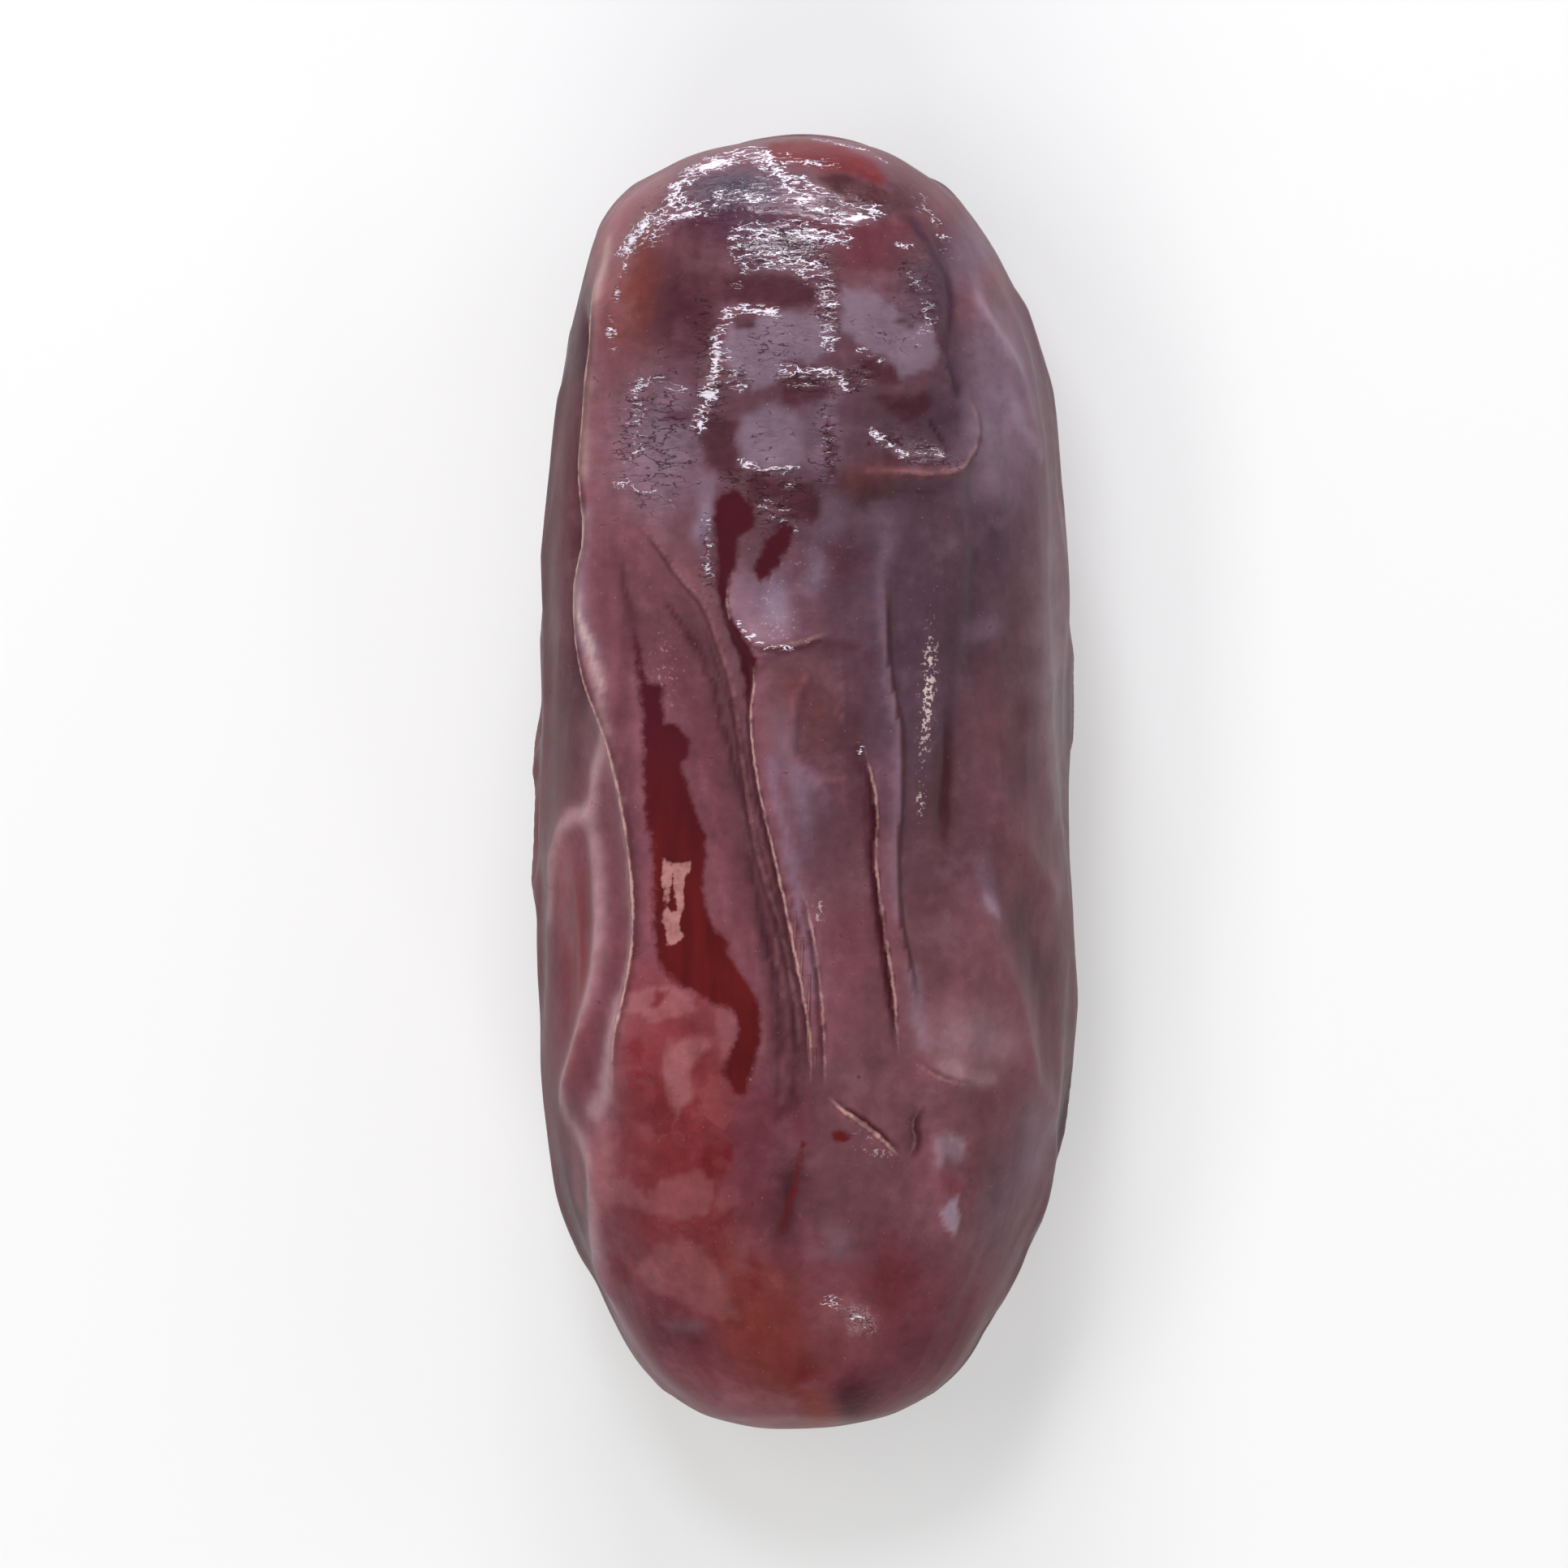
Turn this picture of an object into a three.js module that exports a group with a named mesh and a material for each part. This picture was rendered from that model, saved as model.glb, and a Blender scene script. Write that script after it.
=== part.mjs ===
// A long dried date, whole, without its stalk cap, lying on its belly as it would on a plate. Millimetres.
// +Y runs to the stem end, +X to the right as seen from above, and Z is 0 where the skin rests.
// The fruit grew as one piece, so it is one solid: a plump body with the folds of its loose skin raised
// and sunk along lines that were laid out one by one.
import * as THREE from "three";

// Driving dimensions of the fruit.
const fruitLength = 46;
const fruitWidth = 19.2;
const heightAboveAxis = 9.0;
const depthBelowAxis = 8.4;
const foldRoom = 0.3; // the bare body is drawn this much inside those sizes, and the folds make it up
const axisHeight = 7.85; // a little less than the bare depth, so the belly is pressed flat where it rests
const sectionPower = 2.2; // 2 is an ellipse, and more is squarer

// Fineness of the surface.
const columns = 84;
const rings = 69;
const profileSteps = 400;
const lineStep = 0.35; // between the samples of a fold's line

// Sections from the tip to the stem end. along is a share of half the length. wide, high and deep are
// shares of half the width and of the height above and the depth below the axis. shift is in millimetres.
const sections = [
  { along: -1.0, wide: 0.0, high: 0.0, deep: 0.0, shift: -0.55 },
  { along: -0.974, wide: 0.38, high: 0.39, deep: 0.36, shift: -0.25 },
  { along: -0.9, wide: 0.62, high: 0.61, deep: 0.58, shift: -0.15 },
  { along: -0.783, wide: 0.77, high: 0.76, deep: 0.75, shift: -0.1 },
  { along: -0.61, wide: 0.93, high: 0.9, deep: 0.89, shift: -0.1 },
  { along: -0.39, wide: 1.0, high: 0.98, deep: 0.98, shift: 0.0 },
  { along: 0.0, wide: 0.99, high: 1.0, deep: 1.0, shift: -0.05 },
  { along: 0.39, wide: 0.97, high: 0.99, deep: 0.99, shift: 0.0 },
  { along: 0.61, wide: 0.92, high: 0.95, deep: 0.93, shift: 0.0 },
  { along: 0.783, wide: 0.81, high: 0.86, deep: 0.81, shift: -0.3 },
  { along: 0.887, wide: 0.68, high: 0.72, deep: 0.7, shift: -0.6 },
  { along: 0.961, wide: 0.44, high: 0.5, deep: 0.48, shift: -0.5 },
  { along: 1.0, wide: 0.0, high: 0.0, deep: 0.0, shift: -0.1 },
];

// A fold is a line on the skin from the stem end to the tip. height is of its crest, or of its crease
// where it is below 0. left and right are how far each flank reaches, as seen from above.
// Three folds are sharp enough that the columns of the surface are led along their crests.
const tallRidge = { height: 0.95, left: 0.5, right: 1.3, line: [
  [-7.3, 18.6], [-6.9, 16.4], [-7.2, 13.4], [-7.35, 11.2], [-7.15, 8.8], [-7.5, 6.8], [-7.35, 4.2],
  [-6.75, 2.2], [-6.35, 0.6], [-5.95, -2.2], [-5.75, -5.2], [-5.95, -7.2], [-6.4, -9.4], [-6.9, -11.6],
] };
const middleCrest = { height: 0.45, left: 0.22, right: 0.9, line: [
  [-2.5, 8.0], [-2.75, 6.6], [-2.5, 5.5], [-1.95, 4.6], [-1.75, 3.8], [-1.85, 2.6], [-1.8, 1.4],
  [-1.55, -0.3], [-1.1, -2.3], [-0.7, -4.2], [-0.2, -6.8], [0.1, -8.4], [0.2, -10.8],
] };
const rightCrest = { height: 0.4, left: 0.7, right: 0.25, line: [
  [2.8, 7.7], [2.8, 4.6], [3.0, 3.2], [3.25, 1.6], [3.2, -1.0], [3.1, -2.4], [3.2, -4.8], [3.6, -6.8],
  [3.9, -8.4],
] };

// The rest of the folds seen from above, as [x, y].
const foldsAbove = [
  // The flank that falls away outside the tall ridge.
  { height: -0.5, left: 0.9, right: 0.5, line: [
    [-7.9, 17.4], [-7.7, 14.0], [-7.95, 10.0], [-8.1, 7.0], [-8.0, 4.2], [-7.5, 2.0],
  ] },
  // The forks of the tall ridge, lower on the left flank.
  { height: 0.28, left: 0.5, right: 0.5, line: [
    [-6.8, 1.9], [-7.1, 1.1], [-7.4, -0.6], [-7.8, -1.3], [-8.4, -1.5], [-8.8, -2.4], [-9.1, -4.2],
  ] },
  { height: 0.38, left: 0.5, right: 0.6, line: [
    [-7.9, -1.3], [-7.4, -2.3], [-7.2, -4.2], [-7.25, -6.6], [-7.7, -8.6], [-8.3, -10.4], [-8.7, -12.0],
  ] },
  { height: 0.3, left: 0.45, right: 0.6, line: [
    [-8.3, -12.1], [-7.7, -12.9], [-7.4, -14.0], [-7.3, -16.4], [-7.1, -17.6], [-6.5, -19.0],
  ] },
  // The upper edge strip and the shoulder where the skin turns over the stem end.
  { height: 0.15, left: 0.3, right: 0.35, line: [
    [-6.1, 18.7], [-6.3, 17.3], [-6.4, 15.4], [-6.45, 13.4],
  ] },
  { height: 0.2, left: 0.7, right: 0.45, line: [
    [2.8, 20.2], [1.4, 19.6], [-0.5, 20.1], [-2.7, 20.2], [-4.2, 19.9], [-5.1, 19.6], [-6.1, 18.7],
  ] },
  // The long creases that run down the middle and draw together towards the tip.
  { height: -0.28, left: 0.35, right: 0.3, line: [
    [-4.5, 6.4], [-3.7, 4.8], [-2.9, 2.4], [-2.5, 0.1], [-2.1, -2.7], [-1.4, -5.1], [-0.7, -8.2],
    [-0.5, -9.8], [-0.7, -11.6], [-0.9, -12.8],
  ] },
  { height: 0.3, left: 0.35, right: 0.35, line: [
    [-6.0, 9.4], [-5.1, 8.5], [-4.4, 7.4], [-3.6, 6.4], [-3.1, 5.1], [-2.6, 3.6], [-2.2, 0.8],
    [-1.7, -2.2], [-0.8, -5.4], [-0.3, -8.2], [-0.2, -10.2],
  ] },
  { height: -0.22, left: 0.3, right: 0.3, line: [
    [-3.3, 10.0], [-3.25, 7.8], [-3.15, 6.4], [-2.8, 4.9], [-2.3, 3.7], [-2.2, 2.4], [-2.1, 0.7],
    [-1.6, -1.6], [-1.2, -3.6], [-0.7, -6.2], [-0.3, -8.8], [-0.2, -10.6],
  ] },
  { height: 0.28, left: 0.2, right: 0.6, line: [
    [-0.2, -3.4], [0.2, -5.0], [0.5, -7.0], [0.65, -9.0], [0.7, -10.9],
  ] },
  { height: 0.26, left: 0.5, right: 0.25, line: [
    [0.7, -11.0], [1.4, -11.6], [2.0, -12.0], [2.7, -12.6], [3.4, -13.3],
  ] },
  { height: -0.25, left: 0.25, right: 0.25, line: [
    [4.1, -11.2], [3.85, -12.1], [3.9, -12.8], [3.5, -13.4],
  ] },
  { height: -0.15, left: 0.3, right: 0.2, line: [
    [1.9, 1.4], [2.1, 0.2], [2.3, -1.4], [2.3, -2.8], [2.6, -5.4], [3.0, -8.0], [3.2, -9.8],
  ] },
  { height: 0.35, left: 0.2, right: 0.5, line: [
    [2.0, 1.5], [2.25, 0.4], [2.45, -1.2], [2.4, -2.6], [2.7, -5.2], [3.1, -7.8], [3.3, -9.8],
  ] },
  { height: 0.3, left: 0.8, right: 0.25, line: [
    [3.7, -9.7], [4.3, -10.2], [5.0, -10.55], [6.0, -10.7],
  ] },
  { height: -0.3, left: 0.4, right: 0.4, line: [
    [5.0, 3.2], [5.05, 0.6], [4.9, -1.2], [4.9, -2.6],
  ] },
  // The arch under the dented patch near the stem end, and the patch's own edges.
  { height: 0.25, left: 0.6, right: 0.35, line: [
    [5.8, 14.0], [6.15, 12.9], [6.0, 11.7], [5.4, 11.1], [4.3, 10.95], [2.8, 11.1],
  ] },
  { height: -0.3, left: 0.4, right: 0.6, line: [
    [5.8, 10.5], [4.4, 10.3], [2.8, 10.2], [2.0, 9.5], [1.5, 8.6],
  ] },
  { height: -0.28, left: 0.6, right: 0.7, line: [
    [4.1, 20.0], [5.1, 18.6], [5.35, 16.8], [5.6, 14.0], [6.0, 10.4], [6.25, 8.4], [6.1, 5.6], [5.8, 2.8],
  ] },
  { height: 0.16, left: 0.3, right: 0.3, line: [[1.9, 13.9], [2.8, 13.9], [3.8, 13.8]] },
  // The rims of the two blistered pads in the middle.
  { height: 0.18, left: 0.25, right: 0.45, line: [
    [-2.8, 16.7], [-3.1, 16.0], [-3.2, 15.2], [-3.4, 14.3], [-3.8, 13.4],
  ] },
  { height: 0.2, left: 0.5, right: 0.25, line: [[-0.4, 11.0], [-1.2, 11.05], [-2.1, 11.2], [-2.4, 11.6]] },
  { height: 0.22, left: 0.6, right: 0.4, line: [
    [1.0, 5.4], [0.2, 5.1], [-0.4, 4.9], [-1.3, 4.8], [-1.9, 5.2], [-2.3, 5.7],
  ] },
  // The soft folds of the right side.
  { height: 0.22, left: 0.6, right: 0.8, line: [
    [6.1, 17.6], [6.4, 16.3], [7.0, 15.4], [7.5, 14.4], [8.0, 12.6], [8.4, 10.8],
  ] },
  { height: 0.12, left: 0.7, right: 0.7, line: [
    [8.8, 10.6], [9.0, 8.0], [9.05, 5.8], [8.6, 2.7], [8.6, 0.2], [8.9, -1.8],
  ] },
  { height: 0.2, left: 0.8, right: 0.9, line: [
    [5.7, 3.2], [6.0, 1.4], [6.4, 0.1], [7.4, -1.8], [8.5, -3.3], [9.1, -4.6],
  ] },
  { height: 0.28, left: 0.8, right: 0.9, line: [
    [5.7, -3.4], [6.3, -5.2], [6.9, -6.4], [7.5, -7.9], [7.9, -9.6], [8.4, -11.2], [8.9, -12.0],
  ] },
  { height: 0.25, left: 0.5, right: 0.5, line: [[8.9, -11.8], [8.65, -13.2], [8.3, -14.8], [7.6, -16.6]] },
  { height: 0.35, left: 0.6, right: 0.5, line: [[4.6, -11.6], [4.6, -13.4], [4.9, -15.4], [5.6, -17.0]] },
  // The soft stripe that runs on to the tip.
  { height: -0.3, left: 0.6, right: 0.6, line: [
    [-0.1, -12.4], [-0.3, -14.0], [-0.7, -15.8], [-1.2, -17.6],
  ] },
];

// Folds round the sides and under the belly, as [degrees, y]: 0 degrees is straight up and 90 is +X.
const foldsAround = [
  { height: 0.22, left: 0.8, right: 0.7, line: [
    [84, 18], [90, 12], [86, 6], [93, 0], [88, -5], [96, -10], [92, -15], [80, -19.5],
  ] },
  { height: 0.45, left: 0.6, right: 0.9, line: [
    [104, 18.5], [111, 12], [105, 5], [114, -2], [109, -9], [116, -15], [106, -20],
  ] },
  { height: 0.5, left: 0.9, right: 0.7, line: [
    [130, 19], [124, 13], [134, 6], [127, 0], [136, -6], [129, -13], [137, -19],
  ] },
  { height: 0.45, left: 0.9, right: 0.8, line: [
    [151, 18], [158, 10], [150, 3], [157, -4], [149, -10], [156, -18],
  ] },
  { height: 0.3, left: 0.8, right: 0.6, line: [
    [180, 18], [172, 11], [181, 5], [175, -2], [183, -9], [177, -18],
  ] },
  { height: 0.45, left: 0.7, right: 0.9, line: [
    [-158, 19], [-151, 11], [-160, 4], [-153, -3], [-162, -9], [-155, -18],
  ] },
  { height: 0.55, left: 0.9, right: 0.7, line: [
    [-131, 18], [-138, 11], [-129, 4], [-138, -3], [-131, -9], [-139, -15], [-132, -19.5],
  ] },
  { height: 0.5, left: 0.7, right: 0.8, line: [
    [-107, 18], [-113, 10], [-106, 3], [-114, -4], [-106, -11], [-113, -17],
  ] },
  { height: 0.2, left: 0.7, right: 0.6, line: [
    [-84, 15], [-88, 8], [-82, 2], [-89, -5], [-84, -12], [-92, -18],
  ] },
  // Short branches that join neighbours, and creases between them.
  { height: 0.35, left: 0.5, right: 0.5, line: [[114, -2], [121, -6], [129, -11]] },
  { height: 0.35, left: 0.5, right: 0.5, line: [[134, 6], [142, 3], [151, -1]] },
  { height: 0.35, left: 0.5, right: 0.5, line: [[-138, 11], [-145, 7], [-156, 4]] },
  { height: 0.35, left: 0.5, right: 0.5, line: [[-106, 3], [-96, -1], [-89, -5]] },
  { height: 0.35, left: 0.5, right: 0.5, line: [[172, 11], [163, 8], [153, 4]] },
  { height: 0.35, left: 0.5, right: 0.5, line: [[-131, -9], [-122, -12], [-112, -14]] },
  { height: 0.35, left: 0.5, right: 0.5, line: [[86, 6], [94, 3], [106, 0]] },
  { height: -0.35, left: 0.5, right: 0.5, line: [[98, 14], [99, 7], [102, 3]] },
  { height: -0.35, left: 0.5, right: 0.5, line: [[121, 4], [118, -2], [121, -8], [124, -15]] },
  { height: -0.3, left: 0.5, right: 0.5, line: [[144, 12], [143, 6]] },
  { height: -0.35, left: 0.5, right: 0.5, line: [[-122, 12], [-119, 5], [-124, -2], [-119, -8]] },
  { height: -0.35, left: 0.5, right: 0.5, line: [[-97, 13], [-95, 6], [-98, 1]] },
  { height: -0.3, left: 0.5, right: 0.5, line: [[-146, 0], [-144, -7], [-148, -13]] },
];

// Broad swells and hollows: the middle as [degrees, y], the reach across and along, and the height.
const swells = [
  { at: [-30, -1.5], reach: [1.9, 7.5], height: -0.42 }, // the long hollow beside the tall ridge
  { at: [1, -1.5], reach: [1.9, 6.5], height: 0.3 }, // the lobe in the middle
  { at: [27, 1.5], reach: [1.0, 6.0], height: 0.25 }, // the lobe to its right
  { at: [26, 12.5], reach: [1.8, 1.1], height: -0.5 }, // the dented patch
  { at: [-4, 6.8], reach: [1.6, 1.4], height: -0.3 },
  { at: [-22, 16.0], reach: [1.6, 3.0], height: -0.25 },
  { at: [-22, -15.0], reach: [3.0, 3.6], height: 0.3 },
  { at: [14, -17.0], reach: [3.0, 3.0], height: 0.15 },
  { at: [34, -8.2], reach: [1.6, 2.4], height: 0.3 },
  { at: [62, -6.0], reach: [1.6, 4.0], height: -0.25 },
  { at: [54, 6.0], reach: [1.4, 5.0], height: -0.25 },
  { at: [-66, -6.5], reach: [1.0, 3.6], height: -0.3 },
  { at: [120, 9.0], reach: [2.4, 6.0], height: -0.3 },
  { at: [-124, -6.0], reach: [2.4, 7.0], height: -0.3 },
  { at: [100, -9.0], reach: [2.4, 6.0], height: 0.2 },
  { at: [-100, 8.0], reach: [2.4, 6.0], height: 0.25 },
];

// The round scar that the stalk cap leaves, just under the stem end, and the dimple of the tip.
const scar = { x: 0.1, z: -3.1, radius: 2.3, depth: 0.6, rim: 0.15, rimWidth: 0.6 };
const dimple = { x: -0.4, z: -1.2, radius: 0.9, depth: 0.35 };

// Puckers that draw in round each end, by a rule: how many, how high, and the stretch of y they cover.
const puckers = [
  { count: 15, from: 21.9, to: 18.6, height: 0.2, width: 0.45, clearOfTop: 104 },
  { count: 13, from: -19.0, to: -22.2, height: 0.16, width: 0.45, clearOfTop: 104 },
];

// Fine wrinkles: waves that follow the length of the fruit and gather towards its ends.
const wrinkle = { above: 0.05, below: 0.22, across: 1.75, along: 8.0, wander: 1.3, fadeFrom: 0.8 };
const meanRadius = 8.5;

const halfLength = fruitLength / 2;
const halfWidth = fruitWidth / 2 - foldRoom;
const bareHeight = heightAboveAxis - foldRoom;
const bareDepth = depthBelowAxis - foldRoom;
const degree = Math.PI / 180;

const clamp = (value, low, high) => Math.min(high, Math.max(low, value));
const smooth = (low, high, value) => {
  const t = clamp((value - low) / (high - low), 0, 1);
  return t * t * (3 - 2 * t);
};

// A smooth curve through (places[i], values[i]), with the slope at each point taken from its neighbours.
function curveThrough(places, values) {
  const last = places.length - 1;
  const slopes = places.map((_, i) => {
    const before = Math.max(i - 1, 0);
    const after = Math.min(i + 1, last);
    return (values[after] - values[before]) / (places[after] - places[before]);
  });
  return (place) => {
    let i = 0;
    while (i < last - 1 && place > places[i + 1]) i++;
    const span = places[i + 1] - places[i];
    const t = clamp((place - places[i]) / span, 0, 1);
    const a = 2 * t ** 3 - 3 * t ** 2 + 1;
    const b = t ** 3 - 2 * t ** 2 + t;
    const c = -2 * t ** 3 + 3 * t ** 2;
    const d = t ** 3 - t ** 2;
    return a * values[i] + b * span * slopes[i] + c * values[i + 1] + d * span * slopes[i + 1];
  };
}

// Half sizes of the sections. Their squares are what is interpolated, so that both ends close round.
const alongs = sections.map((s) => s.along);
const squareCurve = (key) => {
  const curve = curveThrough(alongs, sections.map((s) => s[key] ** 2));
  return (along) => Math.sqrt(Math.max(0, curve(along)));
};
const wideAt = squareCurve("wide");
const highAt = squareCurve("high");
const deepAt = squareCurve("deep");
const shiftAt = curveThrough(alongs, sections.map((s) => s.shift));

// The point of the unfolded body at a turn from straight up, in radians, and a y.
function bodyPoint(turn, y) {
  const along = clamp(y / halfLength, -1, 1);
  const sine = Math.sin(turn);
  const cosine = Math.cos(turn);
  const round = (v) => Math.sign(v) * Math.abs(v) ** (2 / sectionPower);
  const rise = cosine > 0 ? bareHeight * highAt(along) : bareDepth * deepAt(along);
  return new THREE.Vector3(
    shiftAt(along) + halfWidth * wideAt(along) * round(sine),
    y,
    axisHeight + rise * round(cosine),
  );
}

// The outward direction there, from two short steps on the surface.
function bodyNormal(turn, y) {
  const step = 0.02;
  const low = Math.max(y - step, -halfLength);
  const high = Math.min(y + step, halfLength);
  const lengthwise = bodyPoint(turn, high).sub(bodyPoint(turn, low));
  const round = bodyPoint(turn + step, y).sub(bodyPoint(turn - step, y));
  return round.cross(lengthwise).normalize();
}

// The turn at which the upper side of the body has a given x.
function turnAbove([x, y]) {
  const along = y / halfLength;
  const share = clamp((x - shiftAt(along)) / (halfWidth * wideAt(along)), -0.999, 0.999);
  return Math.sign(share) * Math.asin(Math.abs(share) ** (sectionPower / 2));
}

// A fold's line laid on the body: points, the direction of its right-hand side, and the distance so far.
function layFold(fold, places) {
  const guide = new THREE.CatmullRomCurve3(places.map(([turn, y]) => new THREE.Vector3(turn, y, 0)));
  const rough = guide.getPoints(places.length * 6).map((g) => bodyPoint(g.x, g.y));
  let length = 0;
  for (let i = 1; i < rough.length; i++) length += rough[i].distanceTo(rough[i - 1]);
  const count = Math.max(4, Math.round(length / lineStep));
  const samples = guide.getPoints(count).map((g) => ({
    turn: g.x,
    point: bodyPoint(g.x, g.y),
    normal: bodyNormal(g.x, g.y),
  }));
  let gone = 0;
  samples.forEach((sample, i) => {
    const next = samples[Math.min(i + 1, count)].point;
    const last = samples[Math.max(i - 1, 0)].point;
    sample.right = sample.normal.clone().cross(next.clone().sub(last)).normalize();
    if (i > 0) gone += sample.point.distanceTo(samples[i - 1].point);
    sample.gone = gone;
  });
  const reach = 5 * Math.max(fold.left, fold.right);
  const box = new THREE.Box3().setFromPoints(samples.map((s) => s.point)).expandByScalar(reach);
  return { ...fold, samples, length: gone, box };
}

function radialPuckers({ count, from, to, height, width, clearOfTop }) {
  const folds = [];
  for (let i = 0; i < count; i++) {
    const turn = clearOfTop + ((360 - 2 * clearOfTop) * (i + 0.3 * Math.sin(5 * i + 1))) / (count - 1);
    const sway = 5 * Math.sin(3 * i + 2);
    const line = [[turn, from], [turn + sway, (from + to) / 2], [turn, to]];
    folds.push({ height: height * (0.8 + 0.4 * Math.sin(7 * i) ** 2), left: width, right: width, line });
  }
  return folds;
}

const layAbove = (fold) => layFold(fold, fold.line.map((place) => [turnAbove(place), place[1]]));
const layAround = (fold) => layFold(fold, fold.line.map(([turn, y]) => [turn * degree, y]));
const ledFolds = [tallRidge, middleCrest, rightCrest].map(layAbove);
const folds = [
  ...ledFolds,
  ...foldsAbove.map(layAbove),
  ...foldsAround.map(layAround),
  ...puckers.flatMap(radialPuckers).map(layAround),
];

// The turn of a laid fold at a y, held at its end value beyond its ends.
function turnAlong({ samples }, y) {
  let i = 1;
  while (i < samples.length - 1 && y < samples[i].point.y) i++;
  const [from, to] = [samples[i - 1], samples[i]];
  const share = clamp((from.point.y - y) / (from.point.y - to.point.y), 0, 1);
  return from.turn + share * (to.turn - from.turn);
}

// Which column follows what: the columns in between are spread evenly, more of them above than below.
const upperEdge = 115 * degree;
const leads = [
  { column: 0, turnAt: () => -upperEdge },
  { column: 18, turnAt: (y) => turnAlong(ledFolds[0], y) },
  { column: 32, turnAt: (y) => turnAlong(ledFolds[1], y) },
  { column: 39, turnAt: (y) => turnAlong(ledFolds[2], y) },
  { column: 64, turnAt: () => upperEdge },
  { column: columns, turnAt: () => 2 * Math.PI - upperEdge },
];
function columnTurn(column, y) {
  const next = leads.findIndex((lead) => lead.column > column);
  const [from, to] = [leads[next - 1], leads[next]];
  const share = (column - from.column) / (to.column - from.column);
  return (1 - share) * from.turnAt(y) + share * to.turnAt(y);
}

// How far one fold lifts the skin at a point: a crest with a rounded top that dies away on both sides.
const nearest = new THREE.Vector3();
const segment = new THREE.Line3();
const taper = { least: 1.0, perHeight: 2.6 }; // the length over which a fold rises at its ends
const crestRound = 0.25;
function foldLift(fold, point) {
  if (!fold.box.containsPoint(point)) return 0;
  let best = Infinity;
  let side = 0;
  let gone = 0;
  for (let i = 1; i < fold.samples.length; i++) {
    const from = fold.samples[i - 1];
    segment.set(from.point, fold.samples[i].point);
    segment.closestPointToPoint(point, true, nearest);
    const distance = nearest.distanceTo(point);
    if (distance < best) {
      best = distance;
      gone = from.gone + nearest.distanceTo(from.point);
      side = nearest.sub(point).dot(from.right);
    }
  }
  const reach = best / (side < 0 ? fold.right : fold.left);
  const ends = Math.min(taper.least + taper.perHeight * Math.abs(fold.height), fold.length / 3);
  const fade = smooth(0, ends, gone) * smooth(0, ends, fold.length - gone);
  return fold.height * fade * Math.exp(crestRound - Math.hypot(reach, crestRound));
}

function swellLift({ at: [turn, middle], reach: [across, along], height }, fruitTurn, y) {
  const apart = Math.atan2(Math.sin(fruitTurn - turn * degree), Math.cos(fruitTurn - turn * degree));
  return height * Math.exp(-(((meanRadius * apart) / across) ** 2) - ((y - middle) / along) ** 2);
}

// Smooth noise from -1 to 1: a slope drawn at each corner of a unit grid, by a fixed mixing of integers.
function cornerDraw(i, j, k, seed) {
  let h = Math.imul(i, 374761393) ^ Math.imul(j, 668265263) ^ Math.imul(k, 1274126177) ^ seed;
  h = Math.imul(h ^ (h >>> 15), 2246822519);
  h = Math.imul(h ^ (h >>> 13), 3266489917);
  return (((h ^ (h >>> 16)) >>> 0) / 4294967296) * 2 - 1;
}
const corners = [0, 1, 2, 3, 4, 5, 6, 7].map((n) => [n & 1, (n >> 1) & 1, n >> 2]);
const ease = (t) => t * t * t * (t * (6 * t - 15) + 10);
function noise(x, y, z) {
  const [i, j, k] = [Math.floor(x), Math.floor(y), Math.floor(z)];
  const [u, v, w] = [x - i, y - j, z - k];
  let sum = 0;
  for (const [a, b, c] of corners) {
    const weight = ease(a ? u : 1 - u) * ease(b ? v : 1 - v) * ease(c ? w : 1 - w);
    const slopeX = cornerDraw(i + a, j + b, k + c, 11);
    const slopeY = cornerDraw(i + a, j + b, k + c, 23);
    const slopeZ = cornerDraw(i + a, j + b, k + c, 47);
    sum += weight * (slopeX * (u - a) + slopeY * (v - b) + slopeZ * (w - c));
  }
  return sum * 1.25;
}

// Wrinkles that run lengthwise: crests where the noise crosses zero, wandering a little from side to side.
function wrinkleLift(turn, y) {
  const [cx, cz] = [meanRadius * Math.sin(turn), meanRadius * Math.cos(turn)];
  const wander = wrinkle.wander * noise(cx / 5, y / 6, cz / 5 + 9);
  const across = turn + wander / meanRadius;
  const value = noise(
    (meanRadius * Math.sin(across)) / wrinkle.across,
    y / wrinkle.along,
    (meanRadius * Math.cos(across)) / wrinkle.across,
  );
  const fade = 1 - smooth(wrinkle.fadeFrom, 1, Math.abs(y) / halfLength);
  const height = wrinkle.below + (wrinkle.above - wrinkle.below) * smooth(-0.4, 0.4, Math.cos(turn));
  return height * fade * (0.35 - Math.min(1, Math.abs(value) * 2.2));
}

// The scar is a shallow dish with a raised rim, and the dimple a small pit.
function endLift(point) {
  const tilt = Math.hypot(point.x - scar.x, point.z - axisHeight - scar.z);
  const pit = Math.hypot(point.x - dimple.x, point.z - axisHeight - dimple.z);
  let lift = 0;
  if (point.y > 0) {
    lift -= scar.depth * (1 - smooth(0.55 * scar.radius, scar.radius, tilt));
    lift += scar.rim * Math.exp(-(((tilt - scar.radius - 0.3) / scar.rimWidth) ** 2));
  } else {
    lift -= dimple.depth * (1 - smooth(0, dimple.radius, pit));
  }
  return lift;
}

// A point of the finished skin. Nothing reaches below the surface that the fruit rests on.
function skinPoint(turn, y) {
  const base = bodyPoint(turn, y);
  let lift = wrinkleLift(turn, y) + endLift(base);
  for (const fold of folds) lift += foldLift(fold, base);
  for (const swell of swells) lift += swellLift(swell, turn, y);
  base.addScaledVector(bodyNormal(turn, y), lift);
  base.z = Math.max(0, base.z);
  return base;
}

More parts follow.
